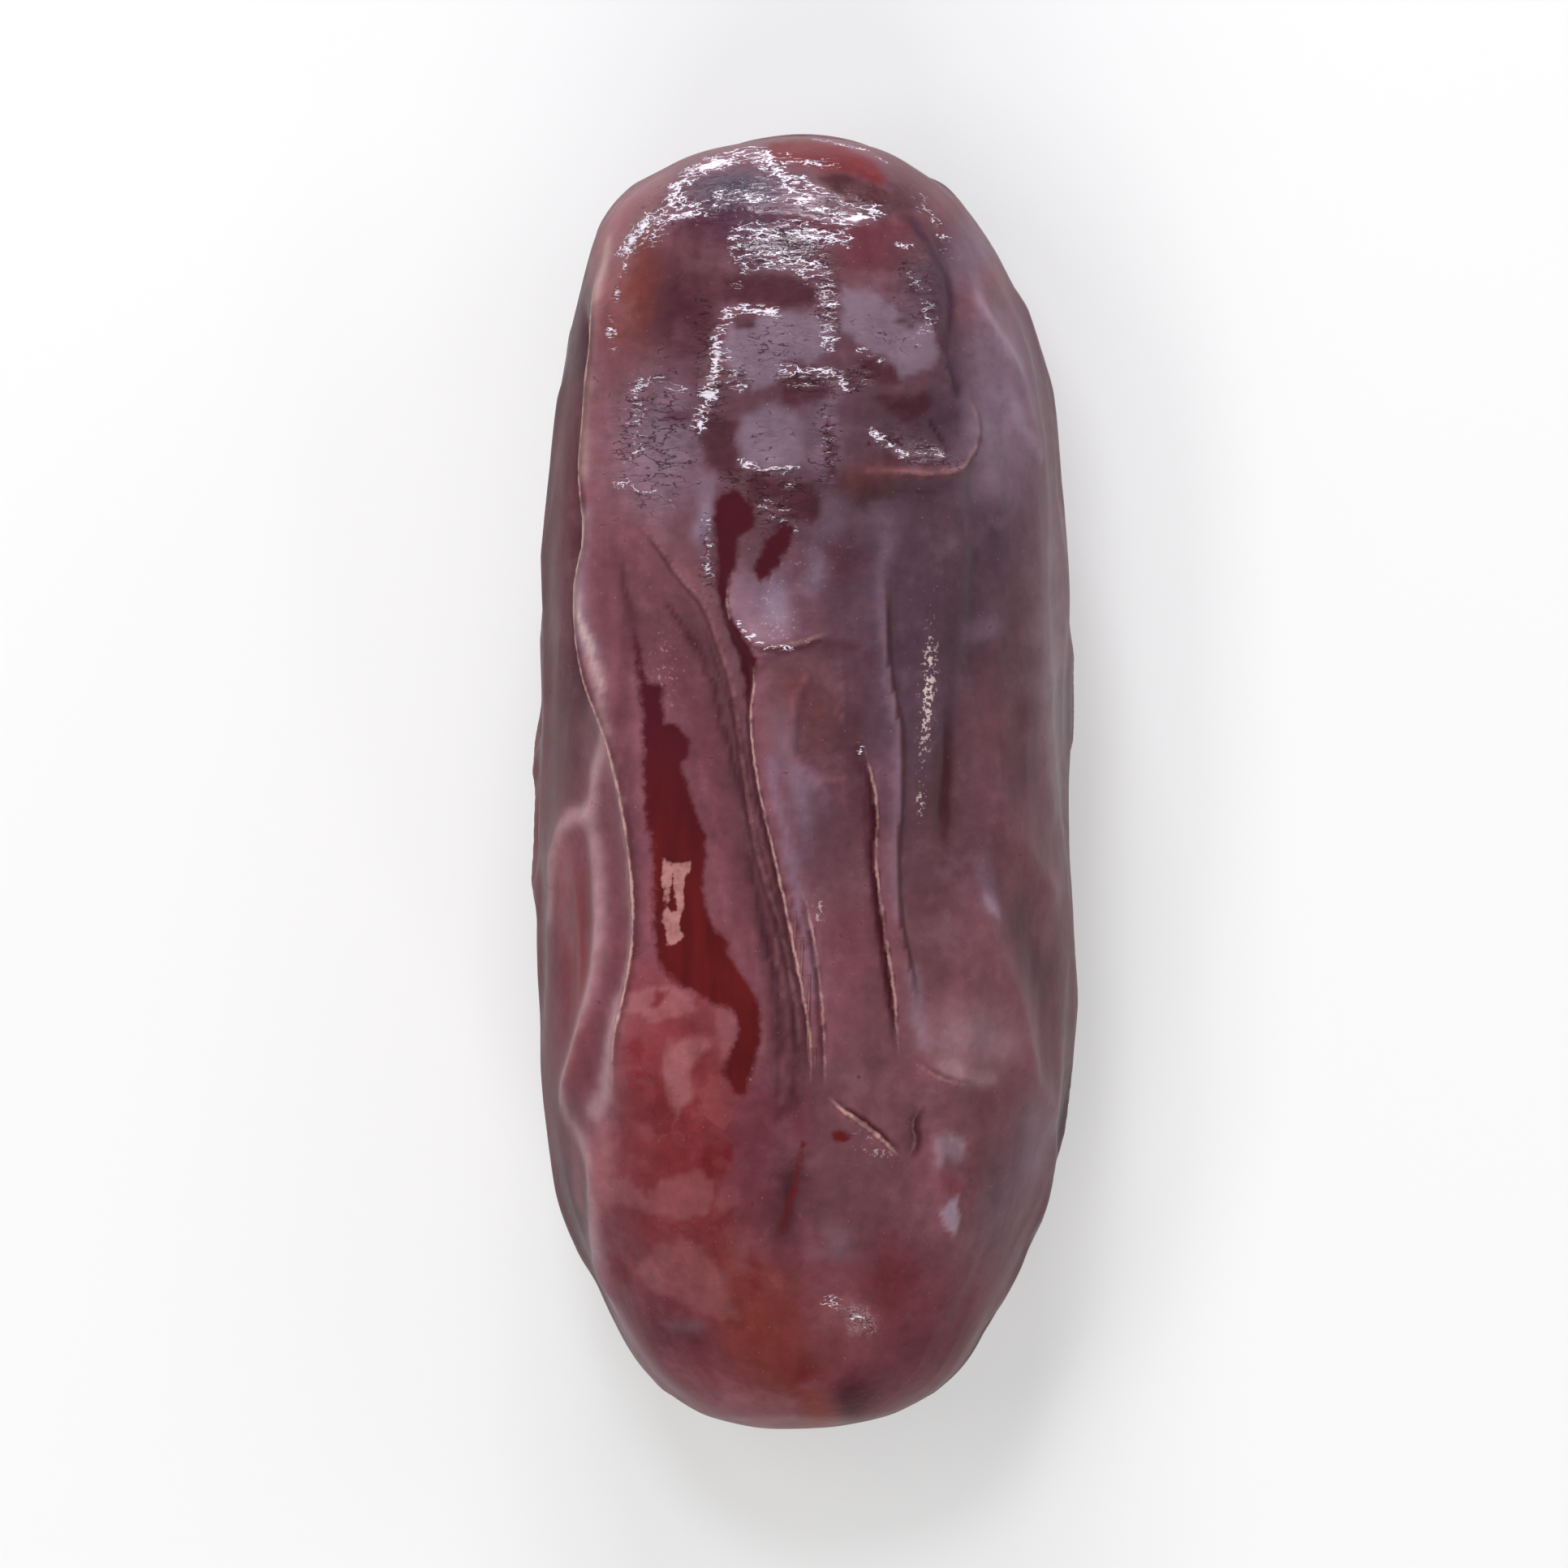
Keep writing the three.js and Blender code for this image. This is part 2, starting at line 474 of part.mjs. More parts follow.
// The y of each ring, evenly spaced along the curve of the side rather than along the axis.
function ringPlaces() {
  const profile = [];
  let length = 0;
  for (let i = 0; i <= profileSteps; i++) {
    const along = -Math.cos((Math.PI * i) / profileSteps);
    const radius = halfWidth * wideAt(along);
    const y = along * halfLength;
    if (i > 0) length += Math.hypot(y - profile[i - 1].y, radius - profile[i - 1].radius);
    profile.push({ y, radius, length });
  }
  const places = [];
  let i = 0;
  for (let ring = 1; ring <= rings; ring++) {
    const wanted = (length * ring) / (rings + 1);
    while (profile[i + 1].length < wanted) i++;
    const share = (wanted - profile[i].length) / (profile[i + 1].length - profile[i].length);
    places.push(profile[i].y + share * (profile[i + 1].y - profile[i].y));
  }
  return places;
}

function fruitGeometry() {
  const points = [skinPoint(0, -halfLength)];
  for (const y of ringPlaces()) {
    for (let column = 0; column < columns; column++) points.push(skinPoint(columnTurn(column, y), y));
  }
  points.push(skinPoint(0, halfLength));
  const at = (ring, column) => 1 + ring * columns + (column % columns);
  const faces = [];
  for (let column = 0; column < columns; column++) {
    faces.push(0, at(0, column + 1), at(0, column));
    faces.push(points.length - 1, at(rings - 1, column), at(rings - 1, column + 1));
    for (let ring = 0; ring < rings - 1; ring++) {
      const [a, b] = [at(ring, column), at(ring, column + 1)];
      const [c, d] = [at(ring + 1, column), at(ring + 1, column + 1)];
      faces.push(a, b, d, a, d, c);
    }
  }
  const geometry = new THREE.BufferGeometry().setFromPoints(points).setIndex(faces);
  geometry.computeVertexNormals();
  return geometry;
}

function dateFruit() {
  const skin = new THREE.MeshStandardMaterial({ color: 0x6e4650, roughness: 0.42, metalness: 0 });
  const fruit = new THREE.Mesh(fruitGeometry(), skin);
  fruit.name = "date_fruit";
  return fruit;
}

const date = new THREE.Group();
date.name = "long_date";
date.add(dateFruit());

export default date;
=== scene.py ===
import math
from types import SimpleNamespace

import bpy
import numpy as np
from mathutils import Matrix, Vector


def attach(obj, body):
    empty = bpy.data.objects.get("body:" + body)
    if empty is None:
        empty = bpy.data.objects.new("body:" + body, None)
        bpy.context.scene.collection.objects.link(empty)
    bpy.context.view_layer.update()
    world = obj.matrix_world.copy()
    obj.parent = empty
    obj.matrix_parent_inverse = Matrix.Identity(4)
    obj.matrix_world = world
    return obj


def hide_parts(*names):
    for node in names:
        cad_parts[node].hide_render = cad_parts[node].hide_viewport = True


# A long dried date on a pale table, seen from straight above.
# Shapes are worked out in millimetres and turned into metres where Blender gets them.
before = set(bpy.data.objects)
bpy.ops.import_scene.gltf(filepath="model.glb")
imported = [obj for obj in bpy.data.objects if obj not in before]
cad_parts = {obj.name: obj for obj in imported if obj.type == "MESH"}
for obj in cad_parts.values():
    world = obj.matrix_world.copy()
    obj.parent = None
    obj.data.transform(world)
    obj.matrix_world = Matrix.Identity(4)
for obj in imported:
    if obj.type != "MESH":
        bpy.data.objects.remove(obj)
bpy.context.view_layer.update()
mm = 0.001
degree = math.pi / 180

# The bare body, as in the solid: along is a share of half the length, wide, high and deep are shares of
# the half width and of the height above and depth below the axis, and shift is sideways in millimetres.
body = {
    "length": 46,
    "width": 19.2,
    "heightAboveAxis": 9,
    "depthBelowAxis": 8.4,
    "foldRoom": 0.3,
    "axisHeight": 7.85,
    "sectionPower": 2.2,
    "along": [-1, -0.974, -0.9, -0.783, -0.61, -0.39, 0, 0.39, 0.61, 0.783, 0.887, 0.961, 1],
    "wide": [0, 0.38, 0.62, 0.77, 0.93, 1, 0.99, 0.97, 0.92, 0.81, 0.68, 0.44, 0],
    "high": [0, 0.39, 0.61, 0.76, 0.9, 0.98, 1, 0.99, 0.95, 0.86, 0.72, 0.5, 0],
    "deep": [0, 0.36, 0.58, 0.75, 0.89, 0.98, 1, 0.99, 0.93, 0.81, 0.7, 0.48, 0],
    "shift": [-0.55, -0.25, -0.15, -0.1, -0.1, 0, -0.05, 0, 0, -0.3, -0.6, -0.5, -0.1],
    "columnsAbove": 216,
    "columnsBelow": 104,
    "upperEdge": 104,
    "rings": 300,
}

halfLength = body["length"] / 2
halfWidth = body["width"] / 2 - body["foldRoom"]
bareHeight = body["heightAboveAxis"] - body["foldRoom"]
bareDepth = body["depthBelowAxis"] - body["foldRoom"]
meanRadius = 8.5


def smoothStep(low, high, value):
    t = np.clip((value - low) / (high - low), 0, 1)
    return t * t * (3 - 2 * t)


def curveThrough(places, values):
    places = np.array(places, float)
    values = np.array(values, float)
    before = np.maximum(np.arange(len(places)) - 1, 0)
    after = np.minimum(np.arange(len(places)) + 1, len(places) - 1)
    slopes = (values[after] - values[before]) / (places[after] - places[before])

    def curve(place):
        i = np.clip(np.searchsorted(places, place, side="left") - 1, 0, len(places) - 2)
        span = places[i + 1] - places[i]
        t = np.clip((place - places[i]) / span, 0, 1)
        first = (2 * t**3 - 3 * t**2 + 1) * values[i] + (t**3 - 2 * t**2 + t) * span * slopes[i]
        second = (-2 * t**3 + 3 * t**2) * values[i + 1] + (t**3 - t**2) * span * slopes[i + 1]
        return first + second

    return curve


def squareCurve(key):
    curve = curveThrough(body["along"], [v * v for v in body[key]])
    return lambda along: np.sqrt(np.maximum(0, curve(along)))


wideAt, highAt, deepAt = squareCurve("wide"), squareCurve("high"), squareCurve("deep")
shiftAt = curveThrough(body["along"], body["shift"])


def bodyPoints(turn, y):
    along = np.clip(y / halfLength, -1, 1)
    sine, cosine = np.sin(turn), np.cos(turn)
    power = 2 / body["sectionPower"]
    rise = np.where(cosine > 0, bareHeight * highAt(along), bareDepth * deepAt(along))
    x = shiftAt(along) + halfWidth * wideAt(along) * np.sign(sine) * np.abs(sine) ** power
    z = body["axisHeight"] + rise * np.sign(cosine) * np.abs(cosine) ** power
    return np.stack([x, y + 0 * x, z], axis=-1)


def unit(vectors):
    return vectors / (np.linalg.norm(vectors, axis=-1, keepdims=True) + 1e-12)


def bodyNormals(turn, y):
    step = 0.02
    high = np.minimum(y + step, halfLength)
    low = np.maximum(y - step, -halfLength)
    lengthwise = bodyPoints(turn, high) - bodyPoints(turn, low)
    around = bodyPoints(turn + step, y) - bodyPoints(turn - step, y)
    return unit(np.cross(around, lengthwise))


def turnAbove(x, y):
    along = y / halfLength
    share = np.clip((x - shiftAt(along)) / (halfWidth * wideAt(along)), -0.999, 0.999)
    return np.sign(share) * np.arcsin(np.abs(share) ** (body["sectionPower"] / 2))


# The folds of the skin that are seen from above. A fold is (height of its crest, reach of its left flank,
# reach of its right flank, line from the stem end to the tip); a height below 0 is a crease.
foldsAbove = {
    "tallRidge": (0.95, 0.42, 1.3, [
        (-7.3, 18.6), (-6.9, 16.4), (-7.2, 13.4), (-7.35, 11.2), (-7.15, 8.8), (-7.5, 6.8), (-7.35, 4.2),
        (-6.75, 2.2), (-6.35, 0.6), (-5.95, -2.2), (-5.75, -5.2), (-5.95, -7.2), (-6.4, -9.4),
        (-6.9, -11.6)]),
    "middleCrest": (0.45, 0.16, 0.9, [
        (-2.5, 8), (-2.75, 6.6), (-2.5, 5.5), (-1.95, 4.6), (-1.75, 3.8), (-1.85, 2.6), (-1.8, 1.4),
        (-1.55, -0.3), (-1.1, -2.3), (-0.7, -4.2), (-0.2, -6.8), (0.1, -8.4), (0.2, -10.8)]),
    "rightCrest": (0.4, 0.7, 0.2, [
        (2.8, 7.7), (2.8, 4.6), (3, 3.2), (3.25, 1.6), (3.2, -1), (3.1, -2.4), (3.2, -4.8), (3.6, -6.8),
        (3.9, -8.4)]),
    "outsideRidge": (-0.5, 0.9, 0.5, [
        (-7.9, 17.4), (-7.7, 14), (-7.95, 10), (-8.1, 7), (-8, 4.2), (-7.5, 2)]),
    "ridgeBranch": (0.28, 0.5, 0.5, [
        (-6.8, 1.9), (-7.1, 1.1), (-7.4, -0.6), (-7.8, -1.3), (-8.4, -1.5), (-8.8, -2.4), (-9.1, -4.2)]),
    "rightLeg": (0.38, 0.5, 0.6, [
        (-7.9, -1.3), (-7.4, -2.3), (-7.2, -4.2), (-7.25, -6.6), (-7.7, -8.6), (-8.3, -10.4), (-8.7, -12)]),
    "lowerLeft": (0.3, 0.45, 0.6, [
        (-8.3, -12.1), (-7.7, -12.9), (-7.4, -14), (-7.3, -16.4), (-7.1, -17.6), (-6.5, -19)]),
    "upperStrip": (0.15, 0.3, 0.35, [(-6.1, 18.7), (-6.3, 17.3), (-6.4, 15.4), (-6.45, 13.4)]),
    "shoulder": (0.2, 0.7, 0.45, [
        (2.8, 20.2), (1.4, 19.6), (-0.5, 20.1), (-2.7, 20.2), (-4.2, 19.9), (-5.1, 19.6), (-6.1, 18.7)]),
    "channelCrease": (-0.28, 0.35, 0.3, [
        (-4.5, 6.4), (-3.7, 4.8), (-2.9, 2.4), (-2.5, 0.1), (-2.1, -2.7), (-1.4, -5.1), (-0.7, -8.2),
        (-0.5, -9.8), (-0.7, -11.6), (-0.9, -12.8)]),
    "channelBank": (0.3, 0.35, 0.35, [
        (-6, 9.4), (-5.1, 8.5), (-4.4, 7.4), (-3.6, 6.4), (-3.1, 5.1), (-2.6, 3.6), (-2.2, 0.8),
        (-1.7, -2.2), (-0.8, -5.4), (-0.3, -8.2), (-0.2, -10.2)]),
    "middleCrease": (-0.22, 0.25, 0.25, [
        (-3.3, 10), (-3.25, 7.8), (-3.15, 6.4), (-2.8, 4.9), (-2.3, 3.7), (-2.2, 2.4), (-2.1, 0.7),
        (-1.6, -1.6), (-1.2, -3.6), (-0.7, -6.2), (-0.3, -8.8), (-0.2, -10.6)]),
    "secondCrest": (0.28, 0.16, 0.6, [(-0.2, -3.4), (0.2, -5), (0.5, -7), (0.65, -9), (0.7, -10.9)]),
    "lipLine": (0.26, 0.5, 0.2, [(0.7, -11), (1.4, -11.6), (2, -12), (2.7, -12.6), (3.4, -13.3)]),
    "lipEnd": (-0.25, 0.2, 0.2, [(4.1, -11.2), (3.85, -12.1), (3.9, -12.8), (3.5, -13.4)]),
    "innerCrease": (-0.15, 0.25, 0.18, [
        (1.9, 1.4), (2.1, 0.2), (2.3, -1.4), (2.3, -2.8), (2.6, -5.4), (3, -8), (3.2, -9.8)]),
    "innerCrest": (0.35, 0.16, 0.5, [
        (2, 1.5), (2.25, 0.4), (2.45, -1.2), (2.4, -2.6), (2.7, -5.2), (3.1, -7.8), (3.3, -9.8)]),
    "padStep": (0.3, 0.8, 0.25, [(3.7, -9.7), (4.3, -10.2), (5, -10.55), (6, -10.7)]),
    "bandCrease": (-0.3, 0.4, 0.4, [(5, 3.2), (5.05, 0.6), (4.9, -1.2), (4.9, -2.6)]),
    "archRim": (0.25, 0.6, 0.35, [
        (5.8, 14), (6.15, 12.9), (6, 11.7), (5.4, 11.1), (4.3, 10.95), (2.8, 11.1)]),
    "archHollow": (-0.3, 0.4, 0.6, [(5.8, 10.5), (4.4, 10.3), (2.8, 10.2), (2, 9.5), (1.5, 8.6)]),
    "rightCrease": (-0.28, 0.6, 0.7, [
        (4.1, 20), (5.1, 18.6), (5.35, 16.8), (5.6, 14), (6, 10.4), (6.25, 8.4), (6.1, 5.6), (5.8, 2.8)]),
    "dentEdge": (0.16, 0.25, 0.25, [(1.9, 13.9), (2.8, 13.9), (3.8, 13.8)]),
    "greyPadEdge": (0.18, 0.2, 0.45, [
        (-2.8, 16.7), (-3.1, 16), (-3.2, 15.2), (-3.4, 14.3), (-3.8, 13.4)]),
    "pinkPadEdge": (0.2, 0.5, 0.2, [(-0.4, 11), (-1.2, 11.05), (-2.1, 11.2), (-2.4, 11.6)]),
    "dishRim": (0.22, 0.6, 0.3, [
        (1, 5.4), (0.2, 5.1), (-0.4, 4.9), (-1.3, 4.8), (-1.9, 5.2), (-2.3, 5.7)]),
    "rightSoft": (0.22, 0.6, 0.8, [
        (6.1, 17.6), (6.4, 16.3), (7, 15.4), (7.5, 14.4), (8, 12.6), (8.4, 10.8)]),
    "rightRim": (0.12, 0.7, 0.7, [(8.8, 10.6), (9, 8), (9.05, 5.8), (8.6, 2.7), (8.6, 0.2), (8.9, -1.8)]),
    "rightFall": (0.2, 0.8, 0.9, [
        (5.7, 3.2), (6, 1.4), (6.4, 0.1), (7.4, -1.8), (8.5, -3.3), (9.1, -4.6)]),
    "rightLow": (0.28, 0.8, 0.9, [
        (5.7, -3.4), (6.3, -5.2), (6.9, -6.4), (7.5, -7.9), (7.9, -9.6), (8.4, -11.2), (8.9, -12)]),
    "lowerRim": (0.25, 0.5, 0.5, [(8.9, -11.8), (8.65, -13.2), (8.3, -14.8), (7.6, -16.6)]),
    "lowerRight": (0.35, 0.6, 0.5, [(4.6, -11.6), (4.6, -13.4), (4.9, -15.4), (5.6, -17)]),
    "tipStripe": (-0.3, 0.6, 0.6, [(-0.1, -12.4), (-0.3, -14), (-0.7, -15.8), (-1.2, -17.6)]),
}

# How each crest is marked: the layer it is drawn in, so that close neighbours keep apart, how pale its top
# is painted, partly paler dry skin and partly a painted highlight, half its width in millimetres, and how
# dark its left and right foot are painted, a painted shade in the crease beside it.
crestMarks = {
    "tallRidge": (0, 0.85, 0.04, 0.2, 0.5),
    "middleCrest": (0, 0.75, 0.03, 0.75, 0),
    "innerCrest": (0, 0.6, 0.025, 0.9, 0),
    "lipLine": (0, 0.9, 0.05, 0, 0.9),
    "archRim": (0, 0.2, 0.06, 0, 0.4),
    "channelBank": (1, 0.1, 0.06, 0.5, 0),
    "secondCrest": (1, 0.5, 0.03, 0.7, 0),
    "rightCrest": (1, 0, 0.1, 0, 0.7),
    "dishRim": (1, 0.3, 0.05, 0, 0.6),
    "padStep": (1, 0.15, 0.05, 0, 0.4),
    "bandCrease": (1, 0, 0.05, 0.4, 0.4),
    "lipEnd": (1, 0.15, 0.03, 0, 0.7),
}

# Folds round the sides and under the belly, as (degrees, y): 0 degrees is straight up and 90 is +X.
foldsAround = [
    (0.22, 0.8, 0.7, [(84, 18), (90, 12), (86, 6), (93, 0), (88, -5), (96, -10), (92, -15), (80, -19.5)]),
    (0.45, 0.6, 0.9, [(104, 18.5), (111, 12), (105, 5), (114, -2), (109, -9), (116, -15), (106, -20)]),
    (0.5, 0.9, 0.7, [(130, 19), (124, 13), (134, 6), (127, 0), (136, -6), (129, -13), (137, -19)]),
    (0.45, 0.9, 0.8, [(151, 18), (158, 10), (150, 3), (157, -4), (149, -10), (156, -18)]),
    (0.3, 0.8, 0.6, [(180, 18), (172, 11), (181, 5), (175, -2), (183, -9), (177, -18)]),
    (0.45, 0.7, 0.9, [(-158, 19), (-151, 11), (-160, 4), (-153, -3), (-162, -9), (-155, -18)]),
    (0.55, 0.9, 0.7, [
        (-131, 18), (-138, 11), (-129, 4), (-138, -3), (-131, -9), (-139, -15), (-132, -19.5)]),
    (0.5, 0.7, 0.8, [(-107, 18), (-113, 10), (-106, 3), (-114, -4), (-106, -11), (-113, -17)]),
    (0.2, 0.7, 0.6, [(-84, 15), (-88, 8), (-82, 2), (-89, -5), (-84, -12), (-92, -18)]),
    (0.35, 0.5, 0.5, [(114, -2), (121, -6), (129, -11)]),
    (0.35, 0.5, 0.5, [(134, 6), (142, 3), (151, -1)]),
    (0.35, 0.5, 0.5, [(-138, 11), (-145, 7), (-156, 4)]),
    (0.35, 0.5, 0.5, [(-106, 3), (-96, -1), (-89, -5)]),
    (0.35, 0.5, 0.5, [(172, 11), (163, 8), (153, 4)]),
    (0.35, 0.5, 0.5, [(-131, -9), (-122, -12), (-112, -14)]),
    (0.35, 0.5, 0.5, [(86, 6), (94, 3), (106, 0)]),
    (-0.35, 0.5, 0.5, [(98, 14), (99, 7), (102, 3)]),
    (-0.35, 0.5, 0.5, [(121, 4), (118, -2), (121, -8), (124, -15)]),
    (-0.3, 0.5, 0.5, [(144, 12), (143, 6)]),
    (-0.35, 0.5, 0.5, [(-122, 12), (-119, 5), (-124, -2), (-119, -8)]),
    (-0.35, 0.5, 0.5, [(-97, 13), (-95, 6), (-98, 1)]),
    (-0.3, 0.5, 0.5, [(-146, 0), (-144, -7), (-148, -13)]),
]

# Broad swells and hollows: the middle as (degrees, y), the reach across and along, and the height.
swells = [
    ((-30, -1.5), (1.9, 7.5), -0.42),
    ((1, -1.5), (1.9, 6.5), 0.3),
    ((27, 1.5), (1, 6), 0.25),
    ((26, 12.5), (1.8, 1.1), -0.5),
    ((-4, 6.8), (1.6, 1.4), -0.3),
    ((-22, 16), (1.6, 3), -0.25),
    ((-22, -15), (3, 3.6), 0.3),
    ((14, -17), (3, 3), 0.15),
    ((34, -8.2), (1.6, 2.4), 0.3),
    ((62, -6), (1.6, 4), -0.25),
    ((54, 6), (1.4, 5), -0.25),
    ((-66, -6.5), (1, 3.6), -0.3),
    ((120, 9), (2.4, 6), -0.3),
    ((-124, -6), (2.4, 7), -0.3),
    ((100, -9), (2.4, 6), 0.2),
    ((-100, 8), (2.4, 6), 0.25),
]

# The scar at the stem end, the dimple at the tip, and the short folds that gather round each end and keep
# clear of the top by these degrees.
ends = {
    "scar": {
        "x": 0.1, "z": -3.1, "radius": 2.3, "floor": 0.55, "depth": 0.6,
        "rim": 0.15, "rimOut": 0.3, "rimWidth": 0.6},
    "dimple": {"x": -0.4, "z": -1.2, "radius": 0.9, "depth": 0.35},
    "puckers": [
        {"count": 15, "from": 21.9, "to": 18.6, "height": 0.2, "width": 0.45, "clearOfTop": 104},
        {"count": 13, "from": -19, "to": -22.2, "height": 0.16, "width": 0.45, "clearOfTop": 104},
    ],
}

# How a fold is laid: the length of its steps, how blunt its crest is, how far it reaches in widths of its
# flank, how it fades at its ends by its height, how far from the crest its mark fades, and a distance that
# no mark reaches.
foldShape = {
    "step": 0.3, "blunt": 0.25, "reach": 5, "fade": 1, "fadeByHeight": 2.6, "markFade": (0.4, 0.8), "farOff": 9,
}


def smoothLine(places, count):
    p = np.array(places, float)
    p = np.vstack([2 * p[0] - p[1], p, 2 * p[-1] - p[-2]])
    place = np.linspace(0, len(places) - 1, count + 1)
    i = np.minimum(place.astype(int), len(places) - 2)
    t = (place - i)[:, None]
    a, b, c, d = p[i], p[i + 1], p[i + 2], p[i + 3]

    def gap(u, v):
        return np.sum((v - u) ** 2, axis=1, keepdims=True) ** 0.25

    ab, bc, cd = gap(a, b), gap(b, c), gap(c, d)
    start = ((b - a) / ab - (c - a) / (ab + bc) + (c - b) / bc) * bc
    finish = ((c - b) / bc - (d - b) / (bc + cd) + (d - c) / cd) * bc
    first = (2 * t**3 - 3 * t**2 + 1) * b + (t**3 - 2 * t**2 + t) * start
    return first + (-2 * t**3 + 3 * t**2) * c + (t**3 - t**2) * finish


def layFold(height, left, right, places, name=""):
    rough = smoothLine(places, len(places) * 6)
    rough = bodyPoints(rough[:, 0], rough[:, 1])
    length = np.sum(np.linalg.norm(np.diff(rough, axis=0), axis=1))
    guide = smoothLine(places, max(4, round(length / foldShape["step"])))
    points = bodyPoints(guide[:, 0], guide[:, 1])
    normals = bodyNormals(guide[:, 0], guide[:, 1])
    after = np.minimum(np.arange(len(points)) + 1, len(points) - 1)
    before = np.maximum(np.arange(len(points)) - 1, 0)
    steps = np.linalg.norm(np.diff(points, axis=0), axis=1)
    return {
        "height": height, "left": left, "right": right, "mark": crestMarks.get(name),
        "points": points,
        "side": unit(np.cross(normals, points[after] - points[before])),
        "gone": np.concatenate([[0], np.cumsum(steps)]),
    }


def foldSeenFromAbove(height, left, right, places, name=""):
    return layFold(height, left, right, [(turnAbove(x, y), y) for x, y in places], name)


def nearFold(fold, points, reach):
    # which points are near the fold, how far off, how far to the right, and how far down its line
    line = fold["points"]
    inside = np.all((points > line.min(0) - reach) & (points < line.max(0) + reach), axis=1)
    chosen = np.nonzero(inside)[0]
    best = np.full(len(chosen), np.inf)
    aside = np.zeros(len(chosen))
    gone = np.zeros(len(chosen))
    near = points[chosen]
    for i in range(len(line) - 1):
        run = line[i + 1] - line[i]
        share = np.clip((near - line[i]) @ run / (run @ run), 0, 1)
        away = near - line[i] - share[:, None] * run
        distance = np.sqrt(np.sum(away * away, axis=1))
        closer = distance < best
        best[closer] = distance[closer]
        aside[closer] = (away @ fold["side"][i])[closer]
        gone[closer] = (fold["gone"][i] + share * np.linalg.norm(run))[closer]
    return chosen, best, aside, gone


def endFade(fold, gone):
    length = fold["gone"][-1]
    reach = min(foldShape["fade"] + foldShape["fadeByHeight"] * abs(fold["height"]), length / 3)
    return smoothStep(0, reach, gone) * smoothStep(0, reach, length - gone)


def puckerFolds(pucker):
    # short folds side by side round an end, each a little off its even place
    folds = []
    clear, middle = pucker["clearOfTop"], (pucker["from"] + pucker["to"]) / 2
    for i in range(pucker["count"]):
        turn = clear + (360 - 2 * clear) * (i + 0.3 * math.sin(5 * i + 1)) / (pucker["count"] - 1)
        sway = 5 * math.sin(3 * i + 2)
        places = [(turn, pucker["from"]), (turn + sway, middle), (turn, pucker["to"])]
        height = pucker["height"] * (0.8 + 0.4 * math.sin(7 * i) ** 2)
        folds.append((height, pucker["width"], pucker["width"], places))
    return folds


def layAllFolds():
    folds = [foldSeenFromAbove(*fold, name) for name, fold in foldsAbove.items()]
    around = foldsAround + [fold for pucker in ends["puckers"] for fold in puckerFolds(pucker)]
    for height, left, right, line in around:
        folds.append(layFold(height, left, right, [(turn * degree, y) for turn, y in line]))
    return folds


# Smooth noise from -1 to 1, drawn the same way as for the solid, so that both have the same wrinkles.
cornerMix = {"x": 374761393, "y": 668265263, "z": 1274126177, "first": 2246822519, "second": 3266489917}
cornerSeeds = (11, 23, 47)
wholeWord = 2**32


def cornerDraw(i, j, k, seed):
    i, j, k = (v.astype(np.int64) for v in (i, j, k))
    h = ((i * cornerMix["x"]) ^ (j * cornerMix["y"]) ^ (k * cornerMix["z"]) ^ seed) & (wholeWord - 1)
    h = ((h ^ (h >> 15)) * cornerMix["first"]) & (wholeWord - 1)
    h = ((h ^ (h >> 13)) * cornerMix["second"]) & (wholeWord - 1)
    return (h ^ (h >> 16)) / wholeWord * 2 - 1


def gridNoise(x, y, z):
    i, j, k = np.floor(x), np.floor(y), np.floor(z)
    u, v, w = x - i, y - j, z - k
    total = np.zeros(np.broadcast(x, y, z).shape)

    def ease(t):
        return t * t * t * (t * (6 * t - 15) + 10)

    for n in range(8):
        a, b, c = n & 1, (n >> 1) & 1, n >> 2
        weight = ease(u if a else 1 - u) * ease(v if b else 1 - v) * ease(w if c else 1 - w)
        slopes = [cornerDraw(i + a, j + b, k + c, seed) for seed in cornerSeeds]
        total += weight * (slopes[0] * (u - a) + slopes[1] * (v - b) + slopes[2] * (w - c))
    return total * 1.25


# The fine wrinkles: their heights on the upper and the under side, their size across and along, and how
# they wander, over what size. They fade from this share of half the length on.
wrinkle = {
    "above": 0.05, "below": 0.22, "across": 1.75, "along": 8, "level": 0.35, "sharpness": 2.2,
    "wander": 1.3, "wanderAcross": 5, "wanderAlong": 6, "wanderStart": 9, "fadeFrom": 0.8,
}

# Skin finer than the solid has it: soft puckering everywhere, and the cracked glaze near the stem end. The
# wet skin is thinner and lies lower.
fineSkin = {
    "swellHeight": 0.07, "swellSize": 2.2,
    "crackHeight": 0.05, "crackAcross": 1.1, "crackAlong": 0.42, "crackDeep": 2,
    "wetSink": 0.05, "wetBank": (-0.1, 0.25),
}

# How much paler a crest this high is painted than the skin round it, a painted highlight, with hollows
# painted darker in the same way as painted shade, and how much darker the flanks are painted, a painted shade.
paintedReliefShade = {"crest": 0.36, "height": 0.4, "flank": 0.25, "flankFrom": 0.35}


def wrinkleLift(turn, y):
    cx, cz = meanRadius * np.sin(turn), meanRadius * np.cos(turn)
    wide = wrinkle["wanderAcross"]
    wander = gridNoise(cx / wide, y / wrinkle["wanderAlong"], cz / wide + wrinkle["wanderStart"])
    across = turn + wrinkle["wander"] * wander / meanRadius
    size = wrinkle["across"] / meanRadius
    value = gridNoise(np.sin(across) / size, y / wrinkle["along"], np.cos(across) / size)
    fade = 1 - smoothStep(wrinkle["fadeFrom"], 1, np.abs(y) / halfLength)
    height = wrinkle["below"] + (wrinkle["above"] - wrinkle["below"]) * smoothStep(-0.4, 0.4, np.cos(turn))
    return height * fade * (wrinkle["level"] - np.minimum(1, np.abs(value) * wrinkle["sharpness"]))


